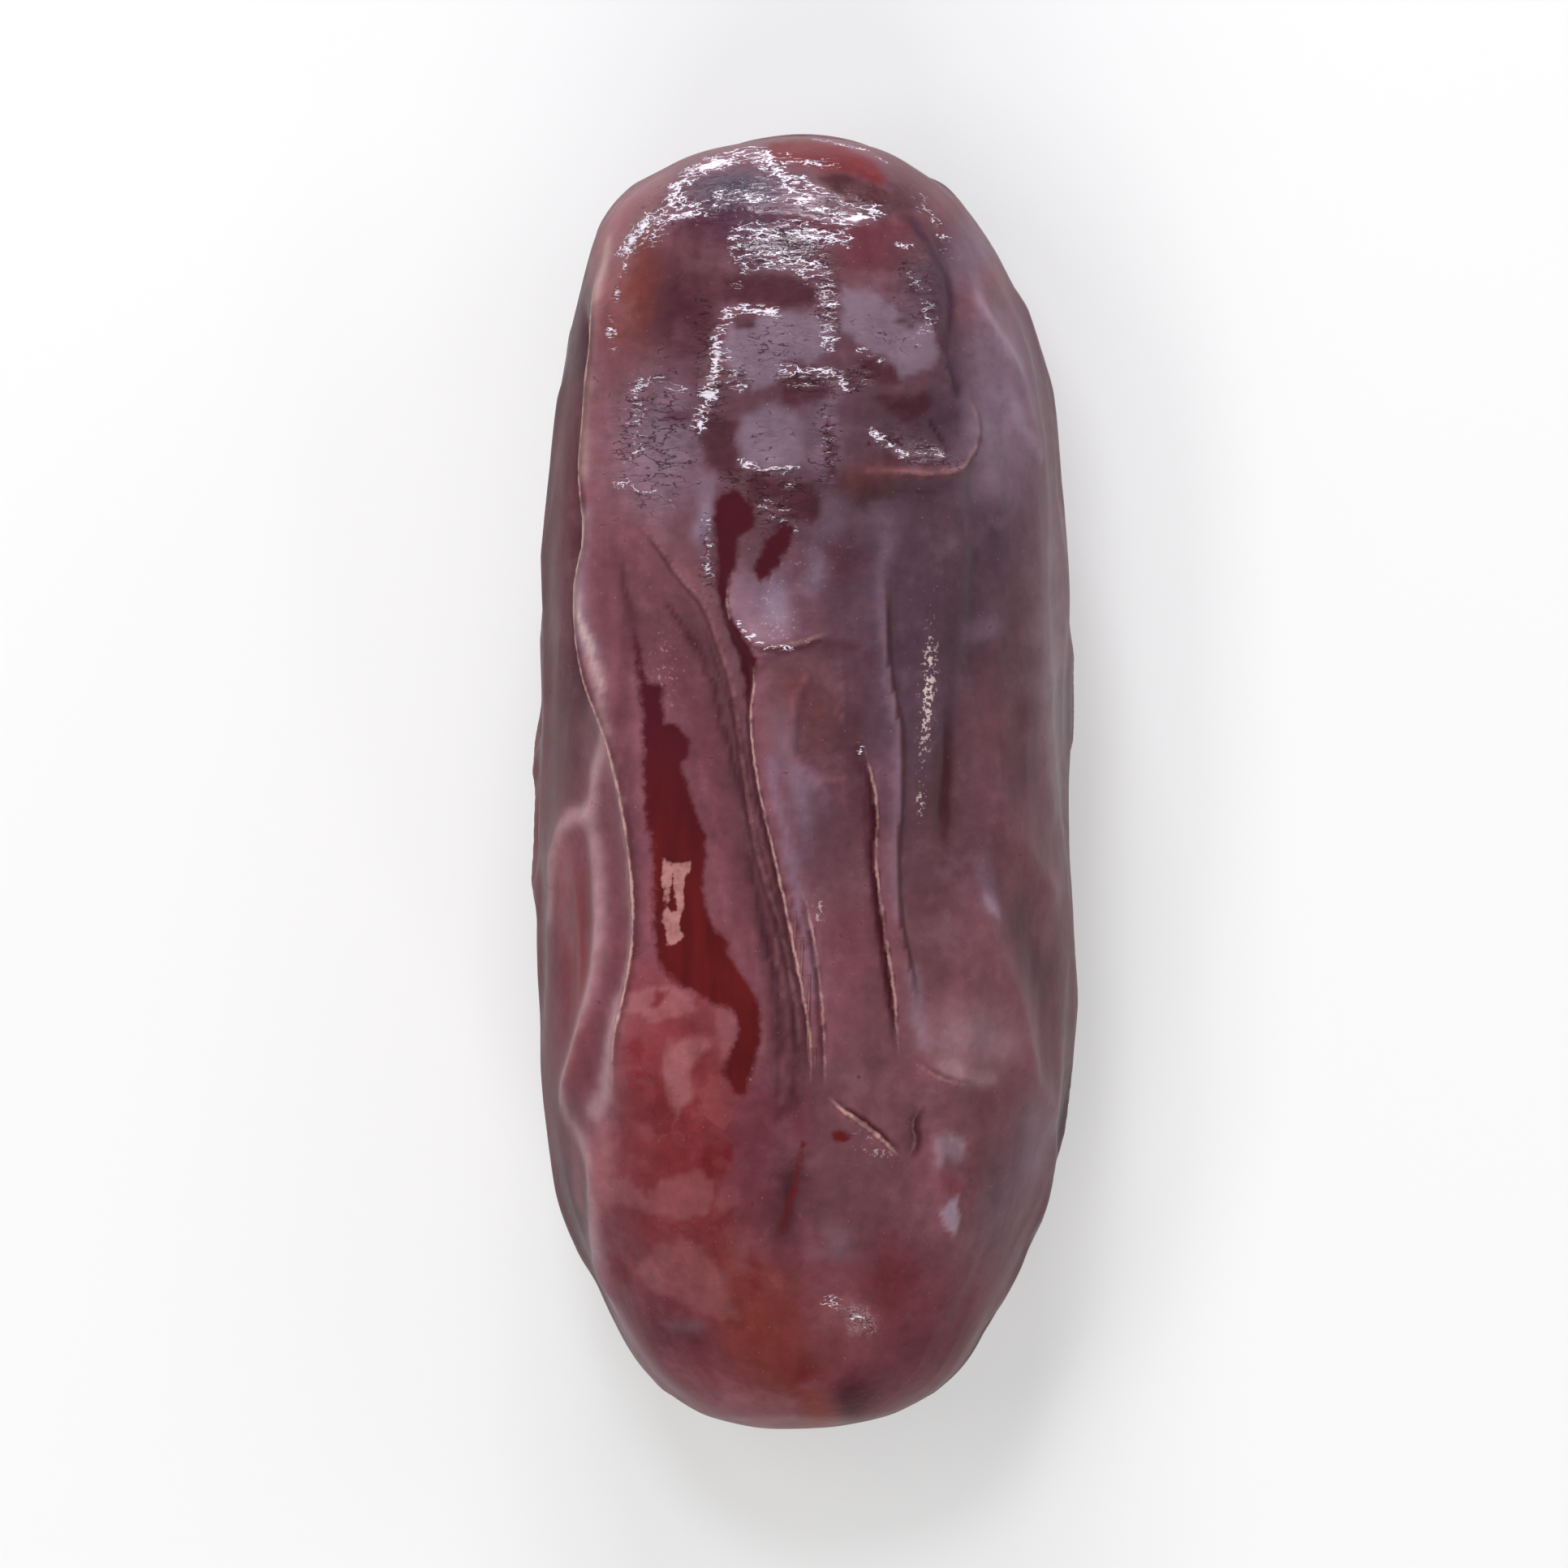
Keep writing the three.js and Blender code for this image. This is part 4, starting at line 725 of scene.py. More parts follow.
# Patches with crisper edges, as a colour, how much of it, how soft its edge is in millimetres, and an
# outline seen from above. Later ones lie over earlier ones.
tracedPatches = [
    ("crimson", 0.9, 0.2, [
        (-1.4, 22.1), (-1.3, 22.75), (0, 22.95), (1.4, 22.7), (2.4, 22.1), (2.9, 21.4), (2.6, 21.2),
        (1.7, 21.6), (0.8, 21.6), (0.1, 21.9)]),
    ("oxblood", 1, 0.15, [
        (0.5, 21.5), (1.2, 21.6), (2, 21.5), (2.8, 21), (3, 20.4), (2.3, 20.5), (1.6, 20.8), (0.9, 20.9)]),
    ("dusk", 0.8, 0.15, [
        (-0.6, 20), (0.4, 19.7), (1.4, 19.55), (2.5, 19.8), (3.2, 20.1), (3.9, 19.5), (3.2, 19.25),
        (1.5, 19.35), (0.2, 19.55)]),
    ("dusk", 0.7, 0.2, [(1.2, 18.8), (2.2, 19.1), (3.1, 18.9), (2.4, 18.2), (1.5, 18.2)]),
    ("maroon", 0.9, 0.15, [
        (-2.9, 17.9), (-1.9, 18), (-0.6, 17.9), (0.3, 17.7), (0.4, 16.9), (-0.9, 16.8), (-2, 17),
        (-2.9, 17)]),
    # the slate pads here and below are waxy bloom with a painted sheen of light on it
    ("slate", 0.85, 0.14, [
        (-2.7, 16.2), (-2, 16.2), (-1.6, 16.6), (-0.8, 16.7), (0.5, 16.6), (0.9, 16.1), (0.8, 15.2),
        (0.2, 14.9), (-0.7, 14.9), (-1, 14.2), (-1.9, 13.8), (-2.1, 14.2), (-2.7, 14.9), (-3, 15.3)]),
    ("maroon", 0.8, 0.1, [(-2.6, 16.2), (-2, 16.5), (-1.8, 16.2), (-2.3, 16)]),
    ("maroon", 0.8, 0.12, [
        (-0.9, 14.2), (-0.2, 14.4), (0.9, 14.2), (1, 13.7), (0.2, 13.5), (-0.6, 13.3), (-1, 13.2),
        (-0.9, 13.6)]),
    ("slate", 0.8, 0.25, [
        (-2.2, 12.9), (-1.4, 13.4), (-0.3, 13.1), (0, 12.2), (-0.3, 11.2), (-1.2, 11.1), (-2.1, 11.3),
        (-2.4, 12.2)]),
    ("maroon", 0.8, 0.1, [
        (-3.9, 13.2), (-3, 13), (-2.4, 12.8), (-2.5, 11.7), (-2.2, 11), (-3, 10.9), (-3.5, 11.6),
        (-3.9, 12.2)]),
    ("maroon", 0.9, 0.1, [
        (-2.1, 10.9), (-0.9, 10.8), (0.3, 10.5), (0.5, 9.9), (0.3, 9.1), (-0.8, 9.4), (-1.6, 9.9),
        (-2.1, 10.3)]),
    ("maroon", 0.8, 0.08, [(0.7, 13), (1.1, 12.4), (1.1, 10.9), (0.8, 10.6), (0.7, 11.6)]),
    ("maroon", 0.8, 0.1, [(-5, 13.2), (-4.1, 13.2), (-4.1, 12.8), (-4.9, 12.7)]),
    ("maroon", 0.9, 0.12, [(2, 14.9), (2.6, 15.1), (3.1, 14.7), (3.4, 14.1), (2.8, 14), (2.2, 14.3)]),
    ("maroon", 0.5, 0.12, [(1.1, 14.9), (1.5, 14.6), (1.9, 14.1), (1.5, 14), (1.2, 14.4)]),
    ("maroon", 0.9, 0.15, [
        (2.4, 13.75), (3.2, 13.7), (4.3, 13.75), (4.7, 13.5), (4.2, 13), (3.4, 12.9), (2.8, 13.3)]),
    ("maroon", 0.8, 0.1, [(2.8, 11.8), (3.4, 11.5), (4.3, 11.4), (5.2, 11.3), (4.4, 11.15), (2.9, 11.2)]),
    ("slate", 0.8, 0.15, [
        (1.3, 17.6), (2.6, 17.3), (3.4, 16.5), (4.5, 16.2), (4.7, 15.2), (4.5, 14.6), (3.4, 14.4),
        (2.9, 15.1), (2, 15.5), (1.3, 16)]),
    ("maroon", 0.6, 0.08, [(3.2, 16.4), (3.8, 16.3), (3.8, 16.15), (3.3, 16.2)]),
    ("grey", 0.6, 0.1, [(-3.5, 11), (-3.1, 10.7), (-3.2, 10.2), (-3.6, 9.7), (-3.8, 10), (-3.6, 10.6)]),
    ("wine", 0.8, 0.12, [
        (-6.4, 9.2), (-5.9, 9.1), (-4.9, 8.3), (-4.2, 7.2), (-3.7, 6.2), (-3.4, 4.8), (-4, 5.4),
        (-4.8, 6.4), (-5.5, 6), (-6, 6.4)]),
    # the lower left, where hazy skin lies in pieces over the red; the paler rose pieces are partly
    # that haze and partly a painted sheen of light on it
    ("rose", 0.5, 0.08, [
        (-5.85, -7.5), (-5.4, -7.25), (-4.9, -7.15), (-4.4, -7.35), (-3.9, -7.65), (-3.85, -7.95),
        (-4.1, -8.25), (-4.9, -8.3), (-5.3, -8.45), (-5.6, -8.2), (-5.9, -8)]),
    ("darkRed", 0.8, 0.06, [(-5.45, -7.8), (-4.95, -7.9), (-4.85, -7.5), (-5.1, -7.35), (-5.2, -7.65)]),
    ("rose", 0.35, 0.1, [
        (-3.4, -7.5), (-2.85, -7.5), (-2.85, -7.9), (-2.4, -8.4), (-2.3, -9.2), (-2.5, -9.8),
        (-2.9, -9.7), (-3.2, -9), (-3.2, -8.2)]),
    ("rose", 0.6, 0.14, [
        (-4.9, -9.2), (-4, -8.9), (-3.3, -9.1), (-3.55, -9.5), (-3.8, -9.9), (-4.1, -10.3), (-4, -11.2),
        (-4.5, -11.8), (-4.9, -10.9), (-5, -10.3)]),
    ("rose", 0.4, 0.12, [(-4.6, -9.3), (-3.9, -9.3), (-3.8, -9.8), (-4.3, -9.9), (-4.9, -9.8)]),
    ("darkRed", 0.8, 0.08, [(-5.9, -9), (-5.55, -9), (-5.5, -9.5), (-5.7, -9.85), (-5.95, -9.8)]),
    ("darkRed", 0.6, 0.1, [(-6.1, -10.2), (-5.3, -10.2), (-5.1, -10.6), (-5.6, -11), (-6.2, -10.8)]),
    ("rose", 0.25, 0.1, [(-6, -12.1), (-5.5, -12), (-5.2, -12.5), (-5.6, -12.6)]),
    ("darkRed", 0.9, 0.1, [
        (-3.4, -12.7), (-2.8, -12.55), (-2.6, -12.8), (-2.55, -13.4), (-2.9, -13.9), (-3.4, -13.9),
        (-3.9, -13.4)]),
    ("rose", 0.4, 0.08, [
        (-5.4, -14.3), (-4.9, -13.9), (-4.2, -13.8), (-3.7, -13.7), (-3.2, -13.95), (-3.2, -14.6),
        (-3.4, -15.1), (-4.2, -15.4), (-5, -15.3), (-5.9, -15), (-6.8, -14.8), (-6.8, -14.1), (-6.2, -14),
        (-5.9, -14.4), (-5.5, -14.6)]),
    ("rose", 0.25, 0.1, [(-2.8, -14.1), (-2.2, -14.4), (-2.3, -14.9), (-3, -15.1), (-3.1, -14.7)]),
    ("darkRed", 0.7, 0.08, [(-3, -15.3), (-2.6, -15.1), (-2.6, -15.5), (-2.9, -15.8), (-3.2, -15.5)]),
    ("rose", 0.4, 0.14, [
        (-5, -16.2), (-4, -16), (-3.2, -16.8), (-2.7, -17.8), (-2.3, -18.9), (-3, -19), (-4.2, -18.4),
        (-5.4, -18), (-6.1, -17.2)]),
    ("darkRed", 0.6, 0.1, [(-6.9, -16.6), (-6.3, -17), (-6.1, -17.6), (-6.4, -17.9), (-6.9, -17.4)]),
    ("darkRed", 0.6, 0.15, [(-2, -16.2), (-1.5, -17), (-1.4, -17.8), (-1.9, -18.2), (-2.1, -17.4)]),
    ("rose", 0.3, 0.1, [
        (-2.6, -21.6), (-1.4, -21.5), (-0.4, -21.8), (-0.3, -22.6), (-1.4, -22.9), (-2.6, -22.6),
        (-3.2, -22.1)]),
    ("mist", 0.7, 0.1, [
        (4.5, -15), (4.9, -14.7), (5.35, -14.5), (5.3, -15.3), (5.05, -16), (4.8, -15.6)]),
    ("mist", 0.4, 0.2, [
        (4.4, -12.4), (5, -12.3), (5.6, -12.8), (5.5, -13.4), (4.9, -13.2), (4.5, -13.6)]),
]

# How far the edges of the soft patches and of the crisp ones wander and over what size, and the stripes
# under the belly: how much of them, how the noise turns into stripes, and their number round and length.
skinLaying = {
    "softWander": (0.45, 1.3), "crispWander": (0.2, 0.45), "patchEdge": 1.3,
    "stripeShare": 0.65, "stripeEdge": (-0.25, 0.35), "stripesRound": 4, "stripeLength": 9,
}

# The colours above are as the skin looks under the lamps. Its gloss adds some haze to what lies beneath, so
# that is taken off before the colour goes on.
lampsOnSkin = {"haze": 0.013, "light": 1.37, "darkest": 0.002}


def beneathGloss(colour):
    share = np.array(colour) / 255
    seen = np.where(share < 0.04045, share / 12.92, ((share + 0.055) / 1.055) ** 2.4)
    return np.maximum((seen - lampsOnSkin["haze"]) / lampsOnSkin["light"], lampsOnSkin["darkest"])


def wandering(points, reach, size):
    x, y, z = points[:, 0], points[:, 1], points[:, 2] / 3
    across = reach * gridNoise(x / size, y / size, z + 4)
    along = reach * gridNoise(x / size + 7, y / size, z)
    return x + across, y + along


def patchCover(patch, x, y):
    (px, py), (across, along), tilt, share = patch
    c, s = math.cos(tilt * degree), math.sin(tilt * degree)
    u = (c * (x - px) + s * (y - py)) / across
    v = (-s * (x - px) + c * (y - py)) / along
    return share * np.exp(-((u * u + v * v) ** skinLaying["patchEdge"]))


def paintSkin(points, turn):
    above = smoothStep(-0.15, 0.3, np.cos(turn))
    skin = np.tile(beneathGloss(skinColours["wine"]), (len(turn), 1))

    def lay(name, cover, chosen=slice(None)):
        skin[chosen] += cover[:, None] * (beneathGloss(skinColours[name]) - skin[chosen])

    def drawLines(lines, places):
        for name, share, halfWide, line in lines:
            drawn = foldSeenFromAbove(0, halfWide, halfWide, line)
            chosen, best, _, _ = nearFold(drawn, places, 3 * halfWide)
            lay(name, share * np.exp(-((best / halfWide) ** 2)), chosen)

    # under the belly, long stripes of two reds follow the folds
    x, y = wandering(points, *skinLaying["softWander"])
    around = skinLaying["stripesRound"]
    stripes = gridNoise(around * np.sin(turn), y / skinLaying["stripeLength"], around * np.cos(turn) + 3)
    stripes = smoothStep(*skinLaying["stripeEdge"], stripes)[:, None]
    plum, belly = beneathGloss(skinColours["plum"]), beneathGloss(skinColours["belly"])
    under = stripes * plum + (1 - stripes) * belly
    skin += (1 - above)[:, None] * skinLaying["stripeShare"] * (under - skin)
    for name, *patch in skinPatches:
        lay(name, patchCover(patch, x, y) * above)

    x, y = wandering(points, *skinLaying["crispWander"])
    places = np.stack([x, y, points[:, 2]], axis=-1)
    drawLines(paintedLines, places)
    for name, share, soft, outline in tracedPatches:
        lay(name, share * above * smoothStep(-soft, soft, outlineDepth(outline, x, y)))
    drawLines(inkLines, places)
    return skin


# How cracked the skin is, laid like the colours.
cracked = [
    ((-2.6, 20.9), (2.6, 0.9), 8, 1),
    ((-5.4, 19.8), (1, 0.6), 30, 0.8),
    ((0.9, 20.4), (1.5, 0.6), -5, 1),
    ((-1, 19), (1.7, 0.9), 0, 1),
    ((0.8, 17), (0.5, 1.8), 0, 1),
    ((-3.3, 14.6), (0.7, 2.4), 6, 1),
    ((-2.2, 14.4), (0.5, 0.6), 0, 0.9),
    ((-1, 15.6), (1.6, 1.2), 0, 0.6),
    ((-1.2, 12.2), (1, 1), 0, 0.45),
    ((3, 15.9), (1.4, 1.2), 0, 0.45),
    ((0.2, 14.2), (1.4, 0.5), -8, 1),
    ((0.8, 12), (0.5, 2), 0, 1),
    ((-1.3, 10.7), (1.6, 0.5), -5, 1),
    ((-1, 9.6), (1.2, 0.9), 0, 0.8),
    ((-5.2, 12), (1.3, 2.6), 0, 1),
    ((-4.9, 15.2), (0.9, 0.6), 0, 0.4),
    ((4, 17.6), (0.8, 1.5), 10, 0.7),
    ((4.9, 15.4), (0.3, 1.4), 0, 0.3),
    ((4, 11.8), (1.6, 0.6), -22, 0.9),
    ((2, 14.4), (0.6, 0.6), 0, 0.9),
    ((-3.5, 8), (0.3, 1.6), 0, 0.8),
    ((1.7, -18.9), (0.9, 0.4), -20, 0.6),
]

# Where glints are painted: near-white flecks laid as if dry flakes of skin caught the light, with a small
# real bump under them, as lines seen from above, with half their width and how closely the flecks lie.
glintLines = {
    "capArch": (0.32, 0.95, [
        (-6.3, 18.9), (-5.7, 19.7), (-4.9, 20.2), (-4.5, 20.95), (-4.1, 21.6), (-3, 22.1), (-2, 22.35),
        (-1.45, 22.2), (-1.1, 21.8), (-0.3, 21), (0.25, 20.35), (1.1, 19.95), (1.8, 19.9), (2.55, 20.2)]),
    "capShelf": (0.4, 0.6, [
        (-5.9, 19.25), (-5, 19.75), (-4, 20.25), (-3, 20.6), (-2, 20.7), (-1, 20.6), (-0.3, 20.45)]),
    "capRight": (0.16, 0.75, [(-0.1, 21.5), (0.25, 21.05), (0.9, 20.7), (1.8, 20.45), (2.4, 20.3)]),
    "topRow": (0.25, 0.3, [(-1, 22.3), (-0.3, 22.2), (0.4, 22), (1.1, 21.9)]),
    "topEdge": (0.1, 0.4, [(0.3, 22.95), (1.2, 22.75), (2.1, 22.5), (3, 22)]),
    "patchTop": (0.34, 0.7, [(-2.4, 19.5), (-1.6, 19.5), (-0.5, 19.45), (0.6, 19.4), (1.3, 19.3)]),
    "patchMiddle": (0.4, 0.8, [(-2.3, 18.8), (-1.6, 18.7), (-0.9, 18.5), (-0.2, 18.25), (0.3, 18.1)]),
    "patchLow": (0.22, 0.6, [(-2.2, 18.15), (-1.4, 18.15)]),
    "patchRight": (0.4, 0.5, [(0.6, 18), (0.8, 17.2), (0.8, 16.2), (0.8, 15.4)]),
    "patchSpot": (0.2, 0.4, [(-2.8, 17.3), (-2.2, 17.6)]),
    "padTop": (0.14, 1, [(-2.9, 16.7), (-2.2, 16.85), (-1.6, 16.75), (-1, 16.6)]),
    "chain": (0.24, 1, [
        (-2.8, 16.6), (-3.05, 16.1), (-3.25, 15.5), (-3.1, 15), (-3.2, 14.5), (-3.6, 14), (-3.3, 13.75),
        (-3.7, 13.3), (-3.75, 12.6)]),
    "chainRight": (0.35, 0.45, [(-2.8, 15), (-2.6, 14.4), (-2.3, 14)]),
    "underPad": (0.3, 0.7, [(-0.8, 14.6), (-0.1, 14.55), (0.6, 14.6), (1.1, 14.3), (1.4, 14)]),
    "pinkPadEdge": (0.1, 1.1, [(-2.3, 11.5), (-2, 11.2), (-1.4, 11.05), (-0.9, 10.95), (-0.4, 11)]),
    "underPink": (0.25, 0.4, [(-0.4, 11), (-0.5, 10.5)]),
    "leftUpper": (0.35, 0.35, [(-5.8, 14.2), (-5, 14.2), (-4.5, 13.9)]),
    "leftPatch": (0.4, 0.35, [(-5.8, 13.5), (-5.9, 12.5), (-5.8, 11.5)]),
    "leftLow": (0.3, 0.35, [(-6.2, 10.6), (-5.4, 10.2), (-4.3, 9.9)]),
    "leftStripe": (0.1, 0.45, [(-6.2, 19), (-6.25, 17.6), (-6.35, 16.2), (-6.35, 15)]),
    "wetEdge": (0.16, 0.5, [(-3.5, 9.6), (-3.45, 8.9), (-3.5, 8), (-3.4, 7.3)]),
    "shreds": (0.35, 0.45, [(-1.5, 9.8), (-0.9, 9.4), (-0.5, 9)]),
    "dishRim": (0.08, 1.1, [
        (-2.4, 5.8), (-2.25, 5.4), (-1.85, 5.1), (-1.4, 4.85), (-1, 4.72), (-0.4, 4.85), (0.1, 5.05)]),
    "dent": (0.13, 1, [(2.3, 12.5), (2.7, 12.2), (3.2, 11.9), (3.6, 11.6)]),
    "dentRight": (0.12, 0.7, [(4.1, 11.8), (4.5, 11.9), (4.9, 11.6)]),
    "dentTop": (0.1, 0.7, [(1.9, 15.3), (2.3, 15.1), (2.8, 14.8)]),
    "rightEdge": (0.3, 0.35, [(3.8, 17.8), (4.3, 17.2), (4.5, 16.4), (4, 15.8)]),
    "rightShoulder": (0.1, 0.6, [(3.2, 19.1), (3.8, 18.95)]),
    "rightFall": (0.3, 0.3, [(3.9, 20.9), (4.4, 20.2), (5, 19.4), (5.3, 18.9)]),
    "crestStart": (0.12, 0.8, [(1.85, 1.5), (1.95, 1)]),
    "tipPatch": (0.3, 0.45, [(0.9, -18.4), (1.5, -18.6), (2.2, -19.1)]),
}

# Where pale specks lie close together. The first, a chain down the right lobe, is a painted reflection,
# sparkles of light; the others are pale specks on the skin.
speckled = [
    ((4.25, 3.2), (0.26, 2.6), -4, 1),
    ((4, -0.6), (0.2, 0.6), 0, 0.8),
    ((-1.2, 5.4), (1.2, 0.8), -20, 0.3),
    ((-4.9, 4), (0.7, 1.6), 0, 0.3),
    ((-0.4, 8), (1.8, 0.9), 0, 0.2),
    ((2.4, -12.9), (0.9, 0.4), -30, 0.5),
    ((-2.2, -10.3), (0.4, 0.3), 0, 0.8),
    ((-1.1, 6.5), (0.9, 1.2), 0, 0.25),
    ((0.45, -4.5), (0.22, 0.7), -6, 0.6),
]

# Where thin and thick skin lie side by side in angular patches over the red flesh. A little of it is
# everywhere.
marbled = [
    ((-4.4, -11.5), (2.6, 4), 0, 1),
    ((-4, -16.6), (3, 3.6), 0, 0.9),
    ((0.4, -17.6), (3.4, 4), 0, 0.6),
    ((-1, -21), (3, 1.6), 0, 0.8),
    ((5, -14), (1.8, 3), 0, 0.4),
]
marbledLeast = 0.15


def lineCover(lines, x, y):
    cover = np.zeros(len(x))
    for halfWide, share, line in lines.values():
        cover = np.maximum(cover, share * np.exp(-((lineDistance(line, x, y) / halfWide) ** 2)))
    return cover


def softCover(patches, x, y):
    return np.max([patchCover(patch, x, y) for patch in patches], axis=0)


def ringPlaces(count):
    along = -np.cos(np.pi * np.arange(401) / 400)
    radius = halfWidth * wideAt(along)
    y = along * halfLength
    length = np.concatenate([[0], np.cumsum(np.hypot(np.diff(y), np.diff(radius)))])
    return np.interp(length[-1] * np.arange(1, count + 1) / (count + 1), length, y)


def columnTurns():
    edge = body["upperEdge"] * degree
    above = np.linspace(-edge, edge, body["columnsAbove"], endpoint=False)
    below = np.linspace(edge, 2 * math.pi - edge, body["columnsBelow"], endpoint=False)
    return np.concatenate([above, below])


def skinFaces(count, rings):
    # rings of four-sided faces, and a fan of triangles at each end
    column, ring = np.meshgrid(np.arange(count), np.arange(rings - 1))
    a = 1 + ring * count + column
    b = 1 + ring * count + (column + 1) % count
    quads = np.stack([a, b, b + count, a + count], axis=-1).reshape(-1, 4).tolist()
    last, top = 1 + (rings - 1) * count, 1 + rings * count
    fanLow = [(0, 1 + (i + 1) % count, 1 + i) for i in range(count)]
    fanHigh = [(top, last + i, last + (i + 1) % count) for i in range(count)]
    return quads + fanLow + fanHigh


def addTrait(mesh, name, values):
    kind, field = ("FLOAT", "value") if values.ndim == 1 else ("FLOAT_COLOR", "color")
    mesh.attributes.new(name, kind, "POINT").data.foreach_set(field, values.ravel())


def addObject(name, data, where=(0, 0, 0)):
    thing = bpy.data.objects.new(name, data)
    thing.location = where
    bpy.context.collection.objects.link(thing)
    return thing


def buildFruit():
    rings, turns = ringPlaces(body["rings"]), columnTurns()
    turn = np.concatenate([[0], np.tile(turns, len(rings)), [0]])
    y = np.concatenate([[-halfLength], np.repeat(rings, len(turns)), [halfLength]])
    points, normals = bodyPoints(turn, y), bodyNormals(turn, y)
    cosine = np.cos(turn)

    lift = wrinkleLift(turn, y) + endLift(points)
    crests = raiseFolds(lift, points)
    print("folds laid")
    # painted highlight on crests, painted shade in hollows and on the flanks
    shade = 1 + paintedReliefShade["crest"] * np.clip(lift / paintedReliefShade["height"], -1, 1)
    shade *= 1 - paintedReliefShade["flank"] * smoothStep(paintedReliefShade["flankFrom"], 0, cosine)
    lift += swellLift(turn, y)

    above = smoothStep(-0.1, 0.25, cosine)
    x, y, z = points.T
    traits = {
        "cracks": softCover(cracked, x, y) * above,
        "marbled": marbledLeast + (1 - marbledLeast) * softCover(marbled, x, y) * above,
        "specks": softCover(speckled, x, y) * above,
        "glints": lineCover(glintLines, x, y) * above,
        **wetTraits(x, y, cosine),
        "crestsA": crests[0],
        "crestsB": crests[1],
    }
    size = fineSkin["swellSize"]
    lift += fineSkin["swellHeight"] * gridNoise(x / size, y / (2 * size), z / size)
    flaky = gridNoise(x / fineSkin["crackAcross"], y / fineSkin["crackAlong"], z / fineSkin["crackDeep"])
    lift += fineSkin["crackHeight"] * traits["cracks"] * flaky
    lift -= fineSkin["wetSink"] * smoothStep(*fineSkin["wetBank"], traits["wetDepth"])
    skin = paintSkin(points, turn) * shade[:, None]
    traits["skinColour"] = np.hstack([skin, np.ones((len(skin), 1))])
    print("skin coloured")
    points = points + lift[:, None] * normals
    points[:, 2] = np.maximum(points[:, 2], 0)

    mesh = bpy.data.meshes.new("dateFruit")
    mesh.from_pydata((points * mm).tolist(), [], skinFaces(len(turns), len(rings)))
    mesh.update()
    mesh.shade_smooth()
    for name, values in traits.items():
        addTrait(mesh, name, values)
    return addObject("dateFruit", mesh)


class Wire:
    # a socket that takes part in plain expressions
    def __init__(self, bench, socket):
        self.bench = bench
        self.socket = socket

    def work(self, operation, first, second):
        return self.bench.add("ShaderNodeMath", {"operation": operation}, {0: first, 1: second})

    def __add__(self, other):
        return self.work("ADD", self, other)

    __radd__ = __add__

    def __sub__(self, other):
        return self.work("SUBTRACT", self, other)

    def __rsub__(self, other):
        return self.work("SUBTRACT", other, self)

    def __mul__(self, other):
        return self.work("MULTIPLY", self, other)

    __rmul__ = __mul__

    def __abs__(self):
        return self.bench.add("ShaderNodeMath", {"operation": "ABSOLUTE"}, {0: self})


class Bench:
    # the node tree of one material or of the world
    def __init__(self, owner):
        owner.use_nodes = True
        self.tree = owner.node_tree
        self.tree.nodes.clear()

    def add(self, kind, settings=None, sockets=None, output=0):
        node = self.tree.nodes.new(kind)
        for name, value in (settings or {}).items():
            setattr(node, name, value)
        for name, value in (sockets or {}).items():
            if isinstance(value, Wire):
                self.tree.links.new(value.socket, node.inputs[name])
            else:
                node.inputs[name].default_value = value
        if isinstance(output, tuple):
            return [Wire(self, node.outputs[o]) for o in output]
        return Wire(self, node.outputs[output]) if node.outputs else node

    def ease(self, value, low, high):
        return self.add("ShaderNodeMapRange", {"interpolation_type": "SMOOTHSTEP"},
                        {"Value": value, "From Min": low, "From Max": high})

    def trait(self, name, output="Fac"):
        return self.add("ShaderNodeAttribute", {"attribute_name": name}, output=output)

    def noise(self, where, scale, detail, roughness=0.5, output="Fac"):
        return self.add("ShaderNodeTexNoise", {},
                        {"Vector": where, "Scale": scale, "Detail": detail, "Roughness": roughness}, output)

    def mix(self, share, first, second, blend="MIX"):
        # 0, 6 and 7 are the sockets of a Mix node for colours, and its result is 2
        return self.add("ShaderNodeMix", {"data_type": "RGBA", "blend_type": blend},
                        {0: share, 6: first, 7: second}, 2)

    def stretch(self, where, sizes):
        return self.add("ShaderNodeVectorMath", {"operation": "MULTIPLY"}, {0: where, 1: sizes})


